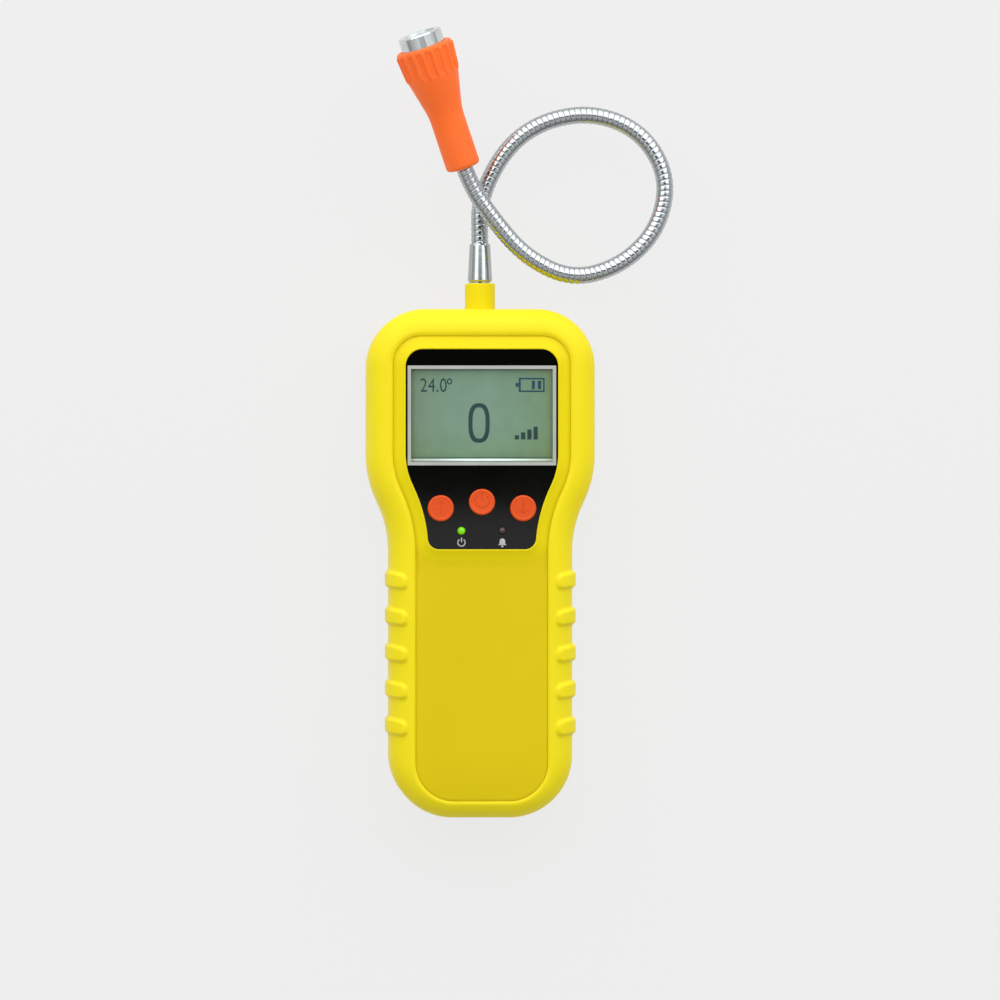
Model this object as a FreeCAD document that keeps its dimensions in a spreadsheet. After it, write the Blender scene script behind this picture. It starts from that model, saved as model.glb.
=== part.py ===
"""Portable gas detector: a handset in a rubber boot, a gooseneck and a sensor probe.

Frame, in millimetres: the handset lies on its back. The origin is the middle of the boot's
rear face, +Z comes out of the display, +Y runs towards the gooseneck, +X is to the right.
"""
import FreeCAD, Part
import math
import os
import re

import Sketcher

Vector = FreeCAD.Vector
Rotation = FreeCAD.Rotation
UP = Vector(0, 0, 1)
SAME = 1e-4
ARC_SHARE = 0.45

doc = FreeCAD.newDocument("GasDetector")
sheet = doc.addObject("Spreadsheet::Sheet", "Sizes")
aliases = []
nodes = []


# ---------------------------------------------------------------- driving sizes


def size(alias, value):
    """Put one plain number in the sheet under its alias, and hand it back for placing."""
    cell = "B%d" % (len(aliases) + 1)
    sheet.set(cell, str(value))
    sheet.setAlias(cell, alias)
    aliases.append(alias)
    return value


# outline of the handset
head_half_width = size("head_half_width", 40.2)
waist_half_width = size("waist_half_width", 32.2)
half_length = size("half_length", 89.7)
head_length = size("head_length", 51.0)
head_corner = size("head_corner", 20.5)
waist_corner = size("waist_corner", 22.2)
shoulder_radius = size("shoulder_radius", 39.0)
shoulder_link = size("shoulder_link", 3.1)

# boot
boot_depth = size("boot_depth", 36.0)
boot_wall = size("boot_wall", 2.4)
boot_lip = size("boot_lip", 2.0)
boot_front_round = size("boot_front_round", 8.0)
boot_rear_round = size("boot_rear_round", 5.0)
border_side = size("border_side", 8.9)
border_top = size("border_top", 9.6)
border_bottom = size("border_bottom", 5.9)
opening_corner = size("opening_corner", 10.0)
opening_foot_corner = size("opening_foot_corner", 13.5)
opening_round = size("opening_round", 1.2)
grille_margin = size("grille_margin", 2.0)
rib_count = size("rib_count", 5)
rib_pitch = size("rib_pitch", 12.9)
rib_drop = size("rib_drop", 44.0)
rib_width = size("rib_width", 6.2)
rib_rise = size("rib_rise", 1.2)
rib_wrap = size("rib_wrap", 6.7)
rib_rear = size("rib_rear", 6.0)
rib_round = size("rib_round", 0.9)

# shells
shell_wall = size("shell_wall", 2.4)
neck_height = size("neck_height", 18.0)
face_drop = size("face_drop", 0.8)
face_gap = size("face_gap", 0.1)
face_round = size("face_round", 0.8)
bezel_rise = size("bezel_rise", 1.8)
bezel_slope = size("bezel_slope", 3.0)
bezel_lip = size("bezel_lip", 0.5)
seal_width = size("seal_width", 0.9)
boss_radius = size("boss_radius", 3.5)
boss_side_margin = size("boss_side_margin", 13.2)
boss_top_margin = size("boss_top_margin", 14.0)
boss_bottom_margin = size("boss_bottom_margin", 13.0)
neck_radius = size("neck_radius", 5.35)
neck_length = size("neck_length", 9.3)
neck_round = size("neck_round", 0.8)
slot_count = size("slot_count", 5)
slot_width = size("slot_width", 1.2)
fit = size("fit", 0.08)
play = size("play", 0.3)

# black panel, display and keys
panel_inset = size("panel_inset", 13.4)
panel_top_margin = size("panel_top_margin", 14.35)
panel_length = size("panel_length", 70.35)
panel_top_corner = size("panel_top_corner", 6.0)
panel_bottom_corner = size("panel_bottom_corner", 3.9)
panel_thickness = size("panel_thickness", 1.6)
panel_recess = size("panel_recess", 0.6)
lcd_side_margin = size("lcd_side_margin", 0.65)
lcd_top_margin = size("lcd_top_margin", 5.75)
lcd_length = size("lcd_length", 35.1)
lcd_border = size("lcd_border", 1.2)
lcd_window_thickness = size("lcd_window_thickness", 1.0)
lcd_glass_thickness = size("lcd_glass_thickness", 2.0)
key_radius = size("key_radius", 4.6)
key_spread = size("key_spread", 14.5)
key_drop = size("key_drop", 55.95)
key_arch = size("key_arch", 2.2)
key_proud = size("key_proud", 1.5)
key_crown = size("key_crown", 0.5)
key_flange = size("key_flange", 0.9)
key_stem_radius = size("key_stem_radius", 2.0)
key_travel = size("key_travel", 0.6)
led_radius = size("led_radius", 1.35)
led_spread = size("led_spread", 7.2)
led_drop = size("led_drop", 7.9)

# circuit board and what it carries
board_drop = size("board_drop", 10.0)
board_thickness = size("board_thickness", 1.6)
board_top_margin = size("board_top_margin", 20.0)
board_length = size("board_length", 115.0)
board_corner = size("board_corner", 8.0)
board_margin = size("board_margin", 0.8)
post_radius = size("post_radius", 2.8)
post_side_margin = size("post_side_margin", 9.6)
post_end_margin = size("post_end_margin", 7.0)
switch_side = size("switch_side", 6.2)
switch_height = size("switch_height", 3.4)
plunger_radius = size("plunger_radius", 1.7)
plunger_length = size("plunger_length", 2.6)
sounder_radius = size("sounder_radius", 6.0)
sounder_height = size("sounder_height", 5.5)
sounder_drop = size("sounder_drop", 18.0)
sounder_port = size("sounder_port", 1.5)
motor_radius = size("motor_radius", 5.0)
motor_height = size("motor_height", 3.4)
motor_side = size("motor_side", 22.0)
motor_drop = size("motor_drop", 32.0)
chip_count = size("chip_count", 3)
chip_side = size("chip_side", 8.0)
chip_height = size("chip_height", 1.2)
chip_pitch = size("chip_pitch", 14.0)
chip_drop = size("chip_drop", 42.0)

# battery bay
cell_radius = size("cell_radius", 7.2)
cell_length = size("cell_length", 50.0)
cell_gap = size("cell_gap", 0.3)
cell_tip_radius = size("cell_tip_radius", 2.75)
cell_tip_length = size("cell_tip_length", 1.0)
bay_wall = size("bay_wall", 1.2)
bay_bottom_margin = size("bay_bottom_margin", 17.3)
contact_thickness = size("contact_thickness", 0.5)
contact_spring = size("contact_spring", 4.0)
contact_width = size("contact_width", 9.0)
tab_width = size("tab_width", 3.0)
door_thickness = size("door_thickness", 3.0)
door_height = size("door_height", 1.0)
door_margin = size("door_margin", 6.0)
door_corner = size("door_corner", 3.0)
door_ledge = size("door_ledge", 2.0)
ledge_width = size("ledge_width", 1.2)

# screws
screw_radius = size("screw_radius", 1.25)
screw_head_radius = size("screw_head_radius", 2.3)
screw_head_height = size("screw_head_height", 1.8)
case_screw_length = size("case_screw_length", 17.0)
case_screw_seat = size("case_screw_seat", 9.0)
board_screw_length = size("board_screw_length", 5.0)
door_screw_length = size("door_screw_length", 6.0)

# ferrule, gooseneck and lead
ferrule_radius = size("ferrule_radius", 4.35)
ferrule_tip_radius = size("ferrule_tip_radius", 3.7)
ferrule_length = size("ferrule_length", 13.5)
ferrule_groove = size("ferrule_groove", 0.5)
ferrule_chamfer = size("ferrule_chamfer", 0.6)
ferrule_mouth = size("ferrule_mouth", 4.0)
mouth_flare = size("mouth_flare", 0.2)
hose_in_ferrule = size("hose_in_ferrule", 9.3)
spigot_radius = size("spigot_radius", 3.5)
spigot_tail = size("spigot_tail", 1.5)
nut_across = size("nut_across", 11.0)
nut_thickness = size("nut_thickness", 3.5)
hose_radius = size("hose_radius", 3.0)
lead_radius = size("lead_radius", 1.2)
lead_room = size("lead_room", 6.0)
lead_side = size("lead_side", 16.0)
plug_side = size("plug_side", 7.0)
plug_height = size("plug_height", 6.0)
joint_clearance = size("joint_clearance", 0.05)
cup_setback = size("cup_setback", 1.5)

# probe
probe_turn = size("probe_turn", 18.8)
probe_tilt = size("probe_tilt", 8.5)
hose_in_grip = size("hose_in_grip", 6.0)
grip_radius = size("grip_radius", 6.1)
grip_straight = size("grip_straight", 17.5)
grip_length = size("grip_length", 45.4)
grip_flare_round = size("grip_flare_round", 27.0)
grip_flare_radius = size("grip_flare_radius", 9.2)
grip_band_start = size("grip_band_start", 34.0)
grip_top_radius = size("grip_top_radius", 10.1)
grip_wall = size("grip_wall", 1.8)
grip_tail_round = size("grip_tail_round", 1.4)
grip_shoulder = size("grip_shoulder", 1.2)
ridge_count = size("ridge_count", 18)
ridge_rise = size("ridge_rise", 0.5)
ridge_radius = size("ridge_radius", 0.8)
ridge_end_gap = size("ridge_end_gap", 2.0)
crimp_length = size("crimp_length", 6.0)
crimp_taper = size("crimp_taper", 2.0)
cap_radius = size("cap_radius", 7.8)
cap_proud = size("cap_proud", 4.7)
cap_wall = size("cap_wall", 1.4)
cap_skirt = size("cap_skirt", 6.0)
cap_edge = size("cap_edge", 0.5)
cap_rim = size("cap_rim", 0.9)
mesh_thickness = size("mesh_thickness", 0.6)
mesh_recess = size("mesh_recess", 0.7)
sensor_radius = size("sensor_radius", 6.0)
sensor_height = size("sensor_height", 9.0)
sensor_drop = size("sensor_drop", 10.5)
sensor_board_thickness = size("sensor_board_thickness", 1.0)
sensor_seal_width = size("sensor_seal_width", 1.5)

# heights and places that follow from them
shoulder_start = half_length - head_length
shoulder_step = head_half_width - waist_half_width
shoulder_turn = (math.acos((2 * shoulder_radius - shoulder_step)
                           / math.hypot(2 * shoulder_radius, shoulder_link))
                 - math.atan2(shoulder_link, 2 * shoulder_radius))
waist_start = (shoulder_start - 2 * shoulder_radius * math.sin(shoulder_turn)
               - shoulder_link * math.cos(shoulder_turn))
shell_front = boot_depth - boot_lip
face_height = boot_depth - face_drop
bezel_height = face_height + bezel_rise
panel_height = bezel_height - panel_recess - panel_thickness
cavity_inset = boot_wall + shell_wall
board_height = boot_depth - board_drop
board_face = board_height + board_thickness
board_top = half_length - board_top_margin
board_bottom = board_top - board_length
sounder_y = board_top - sounder_drop
panel_top = half_length - panel_top_margin
panel_bottom = panel_top - panel_length
lcd_width = 2 * (head_half_width - panel_inset - lcd_side_margin)
lcd_centre_y = panel_top - lcd_top_margin - lcd_length / 2
key_outer_y = panel_top - key_drop
led_y = key_outer_y - led_drop
bay_length = cell_length + 2 * contact_thickness + contact_spring
bay_width = 6 * cell_radius + 4 * cell_gap
door_length = bay_length + 2 * (bay_wall + door_margin)
door_width = bay_width + 2 * bay_wall
bay_floor = door_height + door_thickness
bay_centre_y = bay_bottom_margin + door_length / 2 - half_length
neck_end = half_length + neck_length
ferrule_end = neck_end + ferrule_length + ferrule_groove

# the same lengths as sheet rules, where several pieces share them
SHELL_INNER = "(boot_depth - boot_lip - shell_wall)"
FACE = "(boot_depth - face_drop)"
PANEL_TOP = "(boot_depth - face_drop + bezel_rise - panel_recess)"
PANEL_BASE = "(boot_depth - face_drop + bezel_rise - panel_recess - panel_thickness)"
BOARD_FACE = "(boot_depth - board_drop + board_thickness)"
LCD_WIDTH = "2 * (head_half_width - panel_inset - lcd_side_margin)"
BAY_LENGTH = "(cell_length + 2 * contact_thickness + contact_spring)"
BAY_WIDTH = "(6 * cell_radius + 4 * cell_gap)"
BAY_FLOOR = "(door_height + door_thickness)"
BAY_DEPTH = "(2 * cell_radius + cell_gap)"
DOOR_LENGTH = BAY_LENGTH + " + 2 * (bay_wall + door_margin)"
DOOR_WIDTH = BAY_WIDTH + " + 2 * bay_wall"


# ---------------------------------------------------------------- helpers


def rule(text):
    """A sheet expression: every alias in the text gets the sheet's name before it."""
    return re.sub(r"\b(%s)\b" % "|".join(sorted(aliases, key=len, reverse=True)), r"Sizes.\1", text)


def bind(obj, **rules):
    """Tie properties of an object to the sheet."""
    for name, text in rules.items():
        obj.setExpression(name, rule(text))
    return obj


def keep(obj, label):
    """Label a finished sub-part and list it for export."""
    obj.Label = label
    nodes.append(obj)
    return obj


def new_body(name):
    return doc.addObject("PartDesign::Body", name)


def sketch(body, name, plane_role, geometry, height=None):
    """A closed sketch on an origin plane, its edges joined end to end."""
    drawing = body.newObject("Sketcher::SketchObject", name)
    plane = next(f for f in body.Origin.OriginFeatures if f.Role == plane_role)
    drawing.AttachmentSupport = [(plane, "")]
    drawing.MapMode = "FlatFace"
    if height:
        drawing.setExpression("AttachmentOffset.Base.z", rule(height))
    drawing.addGeometry(geometry, False)
    ends = []
    for index, edge in enumerate(geometry):
        if isinstance(edge, Part.Circle):
            continue
        for end in (1, 2):
            point = drawing.getPoint(index, end)
            mate = next((e for e in ends if e[2].distanceToPoint(point) < SAME), None)
            if mate:
                drawing.addConstraint(Sketcher.Constraint("Coincident", mate[0], mate[1], index, end))
                ends.remove(mate)
            else:
                ends.append((index, end, point))
    return drawing


def pad(body, drawing, name, length, reverse=False):
    feature = body.newObject("PartDesign::Pad", name)
    feature.Profile = drawing
    feature.Reversed = reverse
    bind(feature, Length=length)
    return feature


def pocket(body, drawing, name, length, reverse=False):
    feature = body.newObject("PartDesign::Pocket", name)
    feature.Profile = drawing
    feature.Reversed = reverse
    bind(feature, Length=length)
    return feature


def revolve(body, drawing, name):
    feature = body.newObject("PartDesign::Revolution", name)
    feature.Profile = drawing
    feature.ReferenceAxis = (drawing, ["V_Axis"])
    feature.Angle = 360
    return feature


def edges_at(shape, height):
    """Names of the edges that lie wholly at one height."""
    return ["Edge%d" % (i + 1) for i, e in enumerate(shape.Edges)
            if abs(e.BoundBox.ZMin - height) < SAME and abs(e.BoundBox.ZMax - height) < SAME]


def fillet(body, base, name, edges, radius):
    feature = body.newObject("PartDesign::Fillet", name)
    feature.Base = (base, edges)
    bind(feature, Radius=radius)
    return feature


def line(x1, y1, x2, y2):
    return Part.LineSegment(Vector(x1, y1, 0), Vector(x2, y2, 0))


def arc(x, y, radius, start, end):
    """A counter-clockwise arc about (x, y), angles in radians."""
    return Part.ArcOfCircle(Part.Circle(Vector(x, y, 0), UP, radius), start, end)


def polygon(points):
    return [line(*a, *b) for a, b in zip(points, points[1:] + points[:1])]


def rectangle(width, length, x=0.0, y=0.0):
    return polygon([(x - width / 2, y - length / 2), (x + width / 2, y - length / 2),
                    (x + width / 2, y + length / 2), (x - width / 2, y + length / 2)])


def circles(radius, places):
    return [Part.Circle(Vector(x, y, 0), UP, radius) for x, y in places]


def outline(inset, top, bottom, top_corner, bottom_corner):
    """The handset's outline, drawn in by inset.

    Each side runs down the head, turns in by a convex and a concave arc about the same two
    centres at any inset, and runs down the waist, unless the bottom comes first.
    """
    turn = shoulder_turn
    head = head_half_width - inset
    waist = waist_half_width - inset
    convex = (head_half_width - shoulder_radius, shoulder_start, shoulder_radius - inset)
    concave = (waist_half_width + shoulder_radius, waist_start, shoulder_radius + inset)
    link_top = (convex[0] + convex[2] * math.cos(turn), convex[1] - convex[2] * math.sin(turn))
    link_end = (concave[0] - concave[2] * math.cos(turn), concave[1] + concave[2] * math.sin(turn))
    side = [("arc", head - top_corner, top - top_corner, top_corner, 0, math.pi / 2),
            ("line", head, top - top_corner, head, shoulder_start),
            ("arc", *convex, -turn, 0),
            ("line", *link_top, *link_end)]
    if bottom + bottom_corner < waist_start:
        corner_x = waist - bottom_corner
        side += [("arc", *concave, math.pi - turn, math.pi),
                 ("line", waist, waist_start, waist, bottom + bottom_corner),
                 ("arc", corner_x, bottom + bottom_corner, bottom_corner, -math.pi / 2, 0)]
    else:
        reach = concave[2] + bottom_corner
        drop = bottom + bottom_corner - waist_start
        corner_x = concave[0] - math.sqrt(reach ** 2 - drop ** 2)
        meet = math.pi - math.asin(drop / reach)
        side += [("arc", *concave, math.pi - turn, meet),
                 ("arc", corner_x, bottom + bottom_corner, bottom_corner, -math.pi / 2, meet - math.pi)]
    edges = [line(top_corner - head, top, head - top_corner, top),
             line(-corner_x, bottom, corner_x, bottom)]
    for kind, a, b, c, d, *e in side:
        if kind == "line":
            edges += [line(a, b, c, d), line(-a, b, -c, d)]
        else:
            edges += [arc(a, b, c, d, e[0]), arc(-a, b, c, math.pi - e[0], math.pi - d)]
    return edges


def body_outline(inset):
    """The handset's outline at a constant inset all round."""
    return outline(inset, half_length - inset, inset - half_length,
                   head_corner - inset, waist_corner - inset)


def opening_outline(gap):
    """The boot's front opening, drawn in by gap."""
    return outline(border_side + gap, half_length - border_top - gap,
                   border_bottom + gap - half_length, opening_corner - gap, opening_foot_corner - gap)


def panel_outline(gap):
    """The black panel's outline, drawn out by gap."""
    return outline(panel_inset - gap, panel_top + gap, panel_bottom - gap,
                   panel_top_corner + gap, panel_bottom_corner + gap)


def cylinder(name, radius, height, base, axis=UP):
    """A Part cylinder: radius and height are rules, base and axis place it."""
    obj = doc.addObject("Part::Cylinder", name)
    bind(obj, Radius=radius, Height=height)
    obj.Placement = FreeCAD.Placement(Vector(*base), Rotation(UP, Vector(*axis)))
    return obj


def box(name, length, width, height, corner):
    obj = doc.addObject("Part::Box", name)
    bind(obj, Length=length, Width=width, Height=height)
    obj.Placement.Base = Vector(*corner)
    return obj


def fuse(name, parts):
    obj = doc.addObject("Part::MultiFuse", name)
    obj.Shapes = parts
    return obj


def cut(name, base, tools):
    obj = doc.addObject("Part::Cut", name)
    obj.Base = base
    obj.Tool = tools[0] if len(tools) == 1 else fuse(name + "Tools", tools)
    return obj


def common(name, first, second):
    obj = doc.addObject("Part::Common", name)
    obj.Base = first
    obj.Tool = second
    return obj


def group(name, parts):
    """Separate solids kept in one node, such as a set of like screws."""
    obj = doc.addObject("Part::Compound", name)
    obj.Links = parts
    return obj


def screw(name, place, axis, length):
    """A pan-head screw whose head seats at place and whose shank runs along axis."""
    axis = Vector(*axis)
    head_base = Vector(*place) - axis * screw_head_height
    head = cylinder(name + "Head", "screw_head_radius", "screw_head_height", head_base, axis)
    shank = cylinder(name + "Shank", "screw_radius", length, place, axis)
    return fuse(name, [head, shank])


def corner_places(side_margin, top, bottom):
    """Four mirrored places: two in the head near its sides, two in the waist."""
    return [(side * (half_width - side_margin), y)
            for half_width, y in ((head_half_width, top), (waist_half_width, bottom))
            for side in (-1, 1)]


case_places = corner_places(boss_side_margin, half_length - boss_top_margin,
                            boss_bottom_margin - half_length)
post_places = corner_places(post_side_margin, board_top - post_end_margin,
                            board_bottom + post_end_margin)
key_places = {"up": (-key_spread, key_outer_y), "power": (0.0, key_outer_y + key_arch),
              "down": (key_spread, key_outer_y)}
led_places = {"power": (-led_spread, led_y), "alarm": (led_spread, led_y)}


# ---------------------------------------------------------------- boot


def make_boot():
    """Rubber skin: a cup with a lip over the housing's front, five ribs a side and a rear window."""
    outer = new_body("BootOuter")
    block = pad(outer, sketch(outer, "BootPlan", "XY_Plane", body_outline(0)), "BootBlock", "boot_depth")
    doc.recompute()
    front = fillet(outer, block, "BootFrontRound", edges_at(block.Shape, boot_depth), "boot_front_round")
    doc.recompute()
    fillet(outer, front, "BootRearRound", edges_at(front.Shape, 0), "boot_rear_round")

    swell = new_body("RibSwell")
    plan = sketch(swell, "RibPlan", "XY_Plane", body_outline(-rib_rise), "rib_rear")
    rise = pad(swell, plan, "RibBlock", "boot_depth + rib_rise - rib_rear")
    doc.recompute()
    fillet(swell, rise, "RibRound", edges_at(rise.Shape, boot_depth + rib_rise),
           "boot_front_round + rib_rise")
    bars = []
    for side in (-1, 1):
        for step in range(int(rib_count)):
            inner = waist_half_width - rib_wrap
            outer_x = waist_half_width + 2 * rib_rise
            bar = box("RibBar%s%d" % ("L" if side < 0 else "R", step + 1),
                      "rib_wrap + 2 * rib_rise", "rib_width", "boot_depth",
                      (inner if side > 0 else -outer_x,
                       shoulder_start - rib_drop - rib_pitch * step - rib_width / 2, rib_rear))
            bars.append(bar)
    ribs = common("Ribs", swell, fuse("RibBars", bars))
    doc.recompute()
    top_edges = []
    for index, edge in enumerate(ribs.Shape.Edges):
        middle = edge.valueAt((edge.FirstParameter + edge.LastParameter) / 2)
        across = abs(edge.BoundBox.YLength) < SAME
        bulk = abs(middle.x) > waist_half_width - rib_wrap + SAME and middle.z > rib_rear + SAME
        outside = abs(middle.x) > waist_half_width or middle.z > boot_depth
        if across and bulk and outside:
            top_edges.append((index + 1, rib_round, rib_round))
    rounded = doc.addObject("Part::Fillet", "RibsRounded")
    rounded.Base = ribs
    rounded.Edges = top_edges

    inside = new_body("HousingSpace")
    plan = sketch(inside, "HousingPlan", "XY_Plane", body_outline(boot_wall), "boot_wall")
    space = pad(inside, plan, "HousingBlock", "boot_depth - boot_lip - boot_wall")
    doc.recompute()
    front = fillet(inside, space, "HousingFrontRound", edges_at(space.Shape, shell_front),
                   "boot_front_round - boot_wall")
    doc.recompute()
    fillet(inside, front, "HousingRearRound", edges_at(front.Shape, boot_wall),
           "boot_rear_round - boot_wall")

    opening = new_body("BootOpening")
    plan = sketch(opening, "OpeningPlan", "XY_Plane", opening_outline(0), "neck_height")
    pad(opening, plan, "OpeningBlock", "boot_depth")
    window = box("BootWindow", DOOR_WIDTH + " + 2 * play", DOOR_LENGTH + " + 2 * play", "2 * boot_wall",
                 (-door_width / 2 - play, bay_centre_y - door_length / 2 - play, -boot_wall / 2))
    grille = cylinder("BootGrille", "sounder_radius + grille_margin", "2 * boot_wall",
                      (0, sounder_y, -boot_wall / 2))
    neck = cylinder("BootNeckHole", "neck_radius + face_gap", "4 * boot_wall",
                    (0, half_length - 2 * boot_wall, neck_height), (0, 1, 0))
    skin = fuse("BootSkin", [outer, rounded])
    pierced = cut("BootPierced", skin, [inside, opening, window, grille, neck])
    doc.recompute()
    boot = doc.addObject("Part::Fillet", "Boot")
    boot.Base = pierced
    boot.Edges = [(i + 1, opening_round, opening_round) for i, e in enumerate(pierced.Shape.Edges)
                  if on_opening(e)]
    keep(boot, "boot")


def on_opening(edge):
    """Whether an edge runs round the boot's opening at its front face."""
    flat = edge.BoundBox.ZMin > boot_depth - SAME and edge.BoundBox.ZMax < boot_depth + SAME
    middle = edge.valueAt((edge.FirstParameter + edge.LastParameter) / 2)
    rim = Part.Wire(Part.__sortEdges__([e.toShape() for e in opening_outline(0)]))
    place = Part.Vertex(middle.x, middle.y, 0)
    return flat and rim.distToShape(place)[0] < SAME


# ---------------------------------------------------------------- shells


def half_shell(name, front):
    """One half of the housing: an open tray with its neck half, up to the parting plane."""
    body = new_body(name)
    height = "boot_depth - boot_lip" if front else "boot_wall"
    depth = "boot_depth - boot_lip - neck_height" if front else "neck_height - boot_wall"
    tray = pad(body, sketch(body, name + "Plan", "XY_Plane", body_outline(boot_wall), height),
               name + "Tray", depth, reverse=front)
    doc.recompute()
    level = shell_front if front else boot_wall
    edge_round = "boot_front_round - boot_wall" if front else "boot_rear_round - boot_wall"
    fillet(body, tray, name + "Round", edges_at(tray.Shape, level), edge_round)
    hollow = sketch(body, name + "Hollow", "XY_Plane", body_outline(cavity_inset), "neck_height")
    cavity = SHELL_INNER + " - neck_height" if front else "neck_height - boot_wall - shell_wall"
    pocket(body, hollow, name + "Cavity", cavity, reverse=front)
    return body


def neck_half(name, front):
    """Half of the round neck that grips the gooseneck's ferrule."""
    stub = cylinder(name + "Neck", "neck_radius", "neck_length + boot_wall",
                    (0, half_length - boot_wall, neck_height), (0, 1, 0))
    doc.recompute()
    rounded = doc.addObject("Part::Fillet", name + "NeckRound")
    rounded.Base = stub
    rounded.Edges = [(i + 1, neck_round, neck_round) for i, e in enumerate(stub.Shape.Edges)
                     if abs(e.BoundBox.YMin - neck_end) < SAME and e.Closed]
    low = neck_height if front else neck_height - 2 * neck_radius
    half = box(name + "NeckHalf", "4 * neck_radius", "4 * neck_length", "2 * neck_radius",
               (-2 * neck_radius, half_length - 2 * neck_length, low))
    return common(name + "NeckPiece", rounded, half)


def make_front_shell():
    """Front half: face, raised bezel round the panel, key wells, light holes, bosses and posts."""
    shell = half_shell("FrontTray", True)
    face = new_body("FrontFace")
    plan = sketch(face, "FacePlan", "XY_Plane", opening_outline(face_gap), SHELL_INNER)
    block = pad(face, plan, "FaceBlock", "boot_lip + shell_wall - face_drop")
    doc.recompute()
    fillet(face, block, "FaceRound", edges_at(block.Shape, face_height), "face_round")
    bezel = new_body("Bezel")
    low = sketch(bezel, "BezelFoot", "XY_Plane", panel_outline(bezel_lip + bezel_slope), FACE)
    top = sketch(bezel, "BezelTop", "XY_Plane", panel_outline(bezel_lip), FACE + " + bezel_rise")
    island = bezel.newObject("PartDesign::AdditiveLoft", "BezelIsland")
    island.Profile = low
    island.Sections = [top]
    island.Ruled = True
    bosses = [cylinder("FrontBoss%d" % (i + 1), "boss_radius", SHELL_INNER + " - neck_height",
                       (x, y, neck_height)) for i, (x, y) in enumerate(case_places)]
    posts = [cylinder("BoardPost%d" % (i + 1), "post_radius", SHELL_INNER + " - " + BOARD_FACE,
                      (x, y, board_face)) for i, (x, y) in enumerate(post_places)]
    solid = fuse("FrontSolid", [shell, face, bezel, neck_half("Front", True)] + bosses + posts)

    recess = new_body("PanelRecess")
    plan = sketch(recess, "RecessPlan", "XY_Plane", panel_outline(fit), PANEL_BASE)
    pad(recess, plan, "RecessBlock", "4 * panel_thickness")
    window = box("DisplayHole", LCD_WIDTH + " + 2 * play", "lcd_length + 2 * play", "boot_depth",
                 (-lcd_width / 2 - play, lcd_centre_y - lcd_length / 2 - play, board_face))
    tools = [recess, window]
    for key, (x, y) in key_places.items():
        well = panel_height - key_flange - key_travel - 2 * play
        tools.append(cylinder("KeyWell" + key, "key_radius + key_flange + 2 * play", "boot_depth",
                              (x, y, well)))
        tools.append(cylinder("KeyStemHole" + key, "key_stem_radius + play", "boot_depth",
                              (x, y, board_face)))
    for light, (x, y) in led_places.items():
        tools.append(cylinder("LightHole" + light, "led_radius + play", "boot_depth", (x, y, board_face)))
    for i, (x, y) in enumerate(case_places):
        tools.append(cylinder("CasePilot%d" % (i + 1), "screw_radius",
                              "case_screw_length + case_screw_seat - neck_height", (x, y, neck_height)))
    for i, (x, y) in enumerate(post_places):
        tools.append(cylinder("PostPilot%d" % (i + 1), "screw_radius",
                              "board_screw_length - board_thickness", (x, y, board_face)))
    tools.append(cylinder("FrontNeckBore", "spigot_radius", "4 * neck_length",
                          (0, half_length - 2 * neck_length, neck_height), (0, 1, 0)))
    keep(cut("FrontShell", solid, tools), "front_shell")


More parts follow.
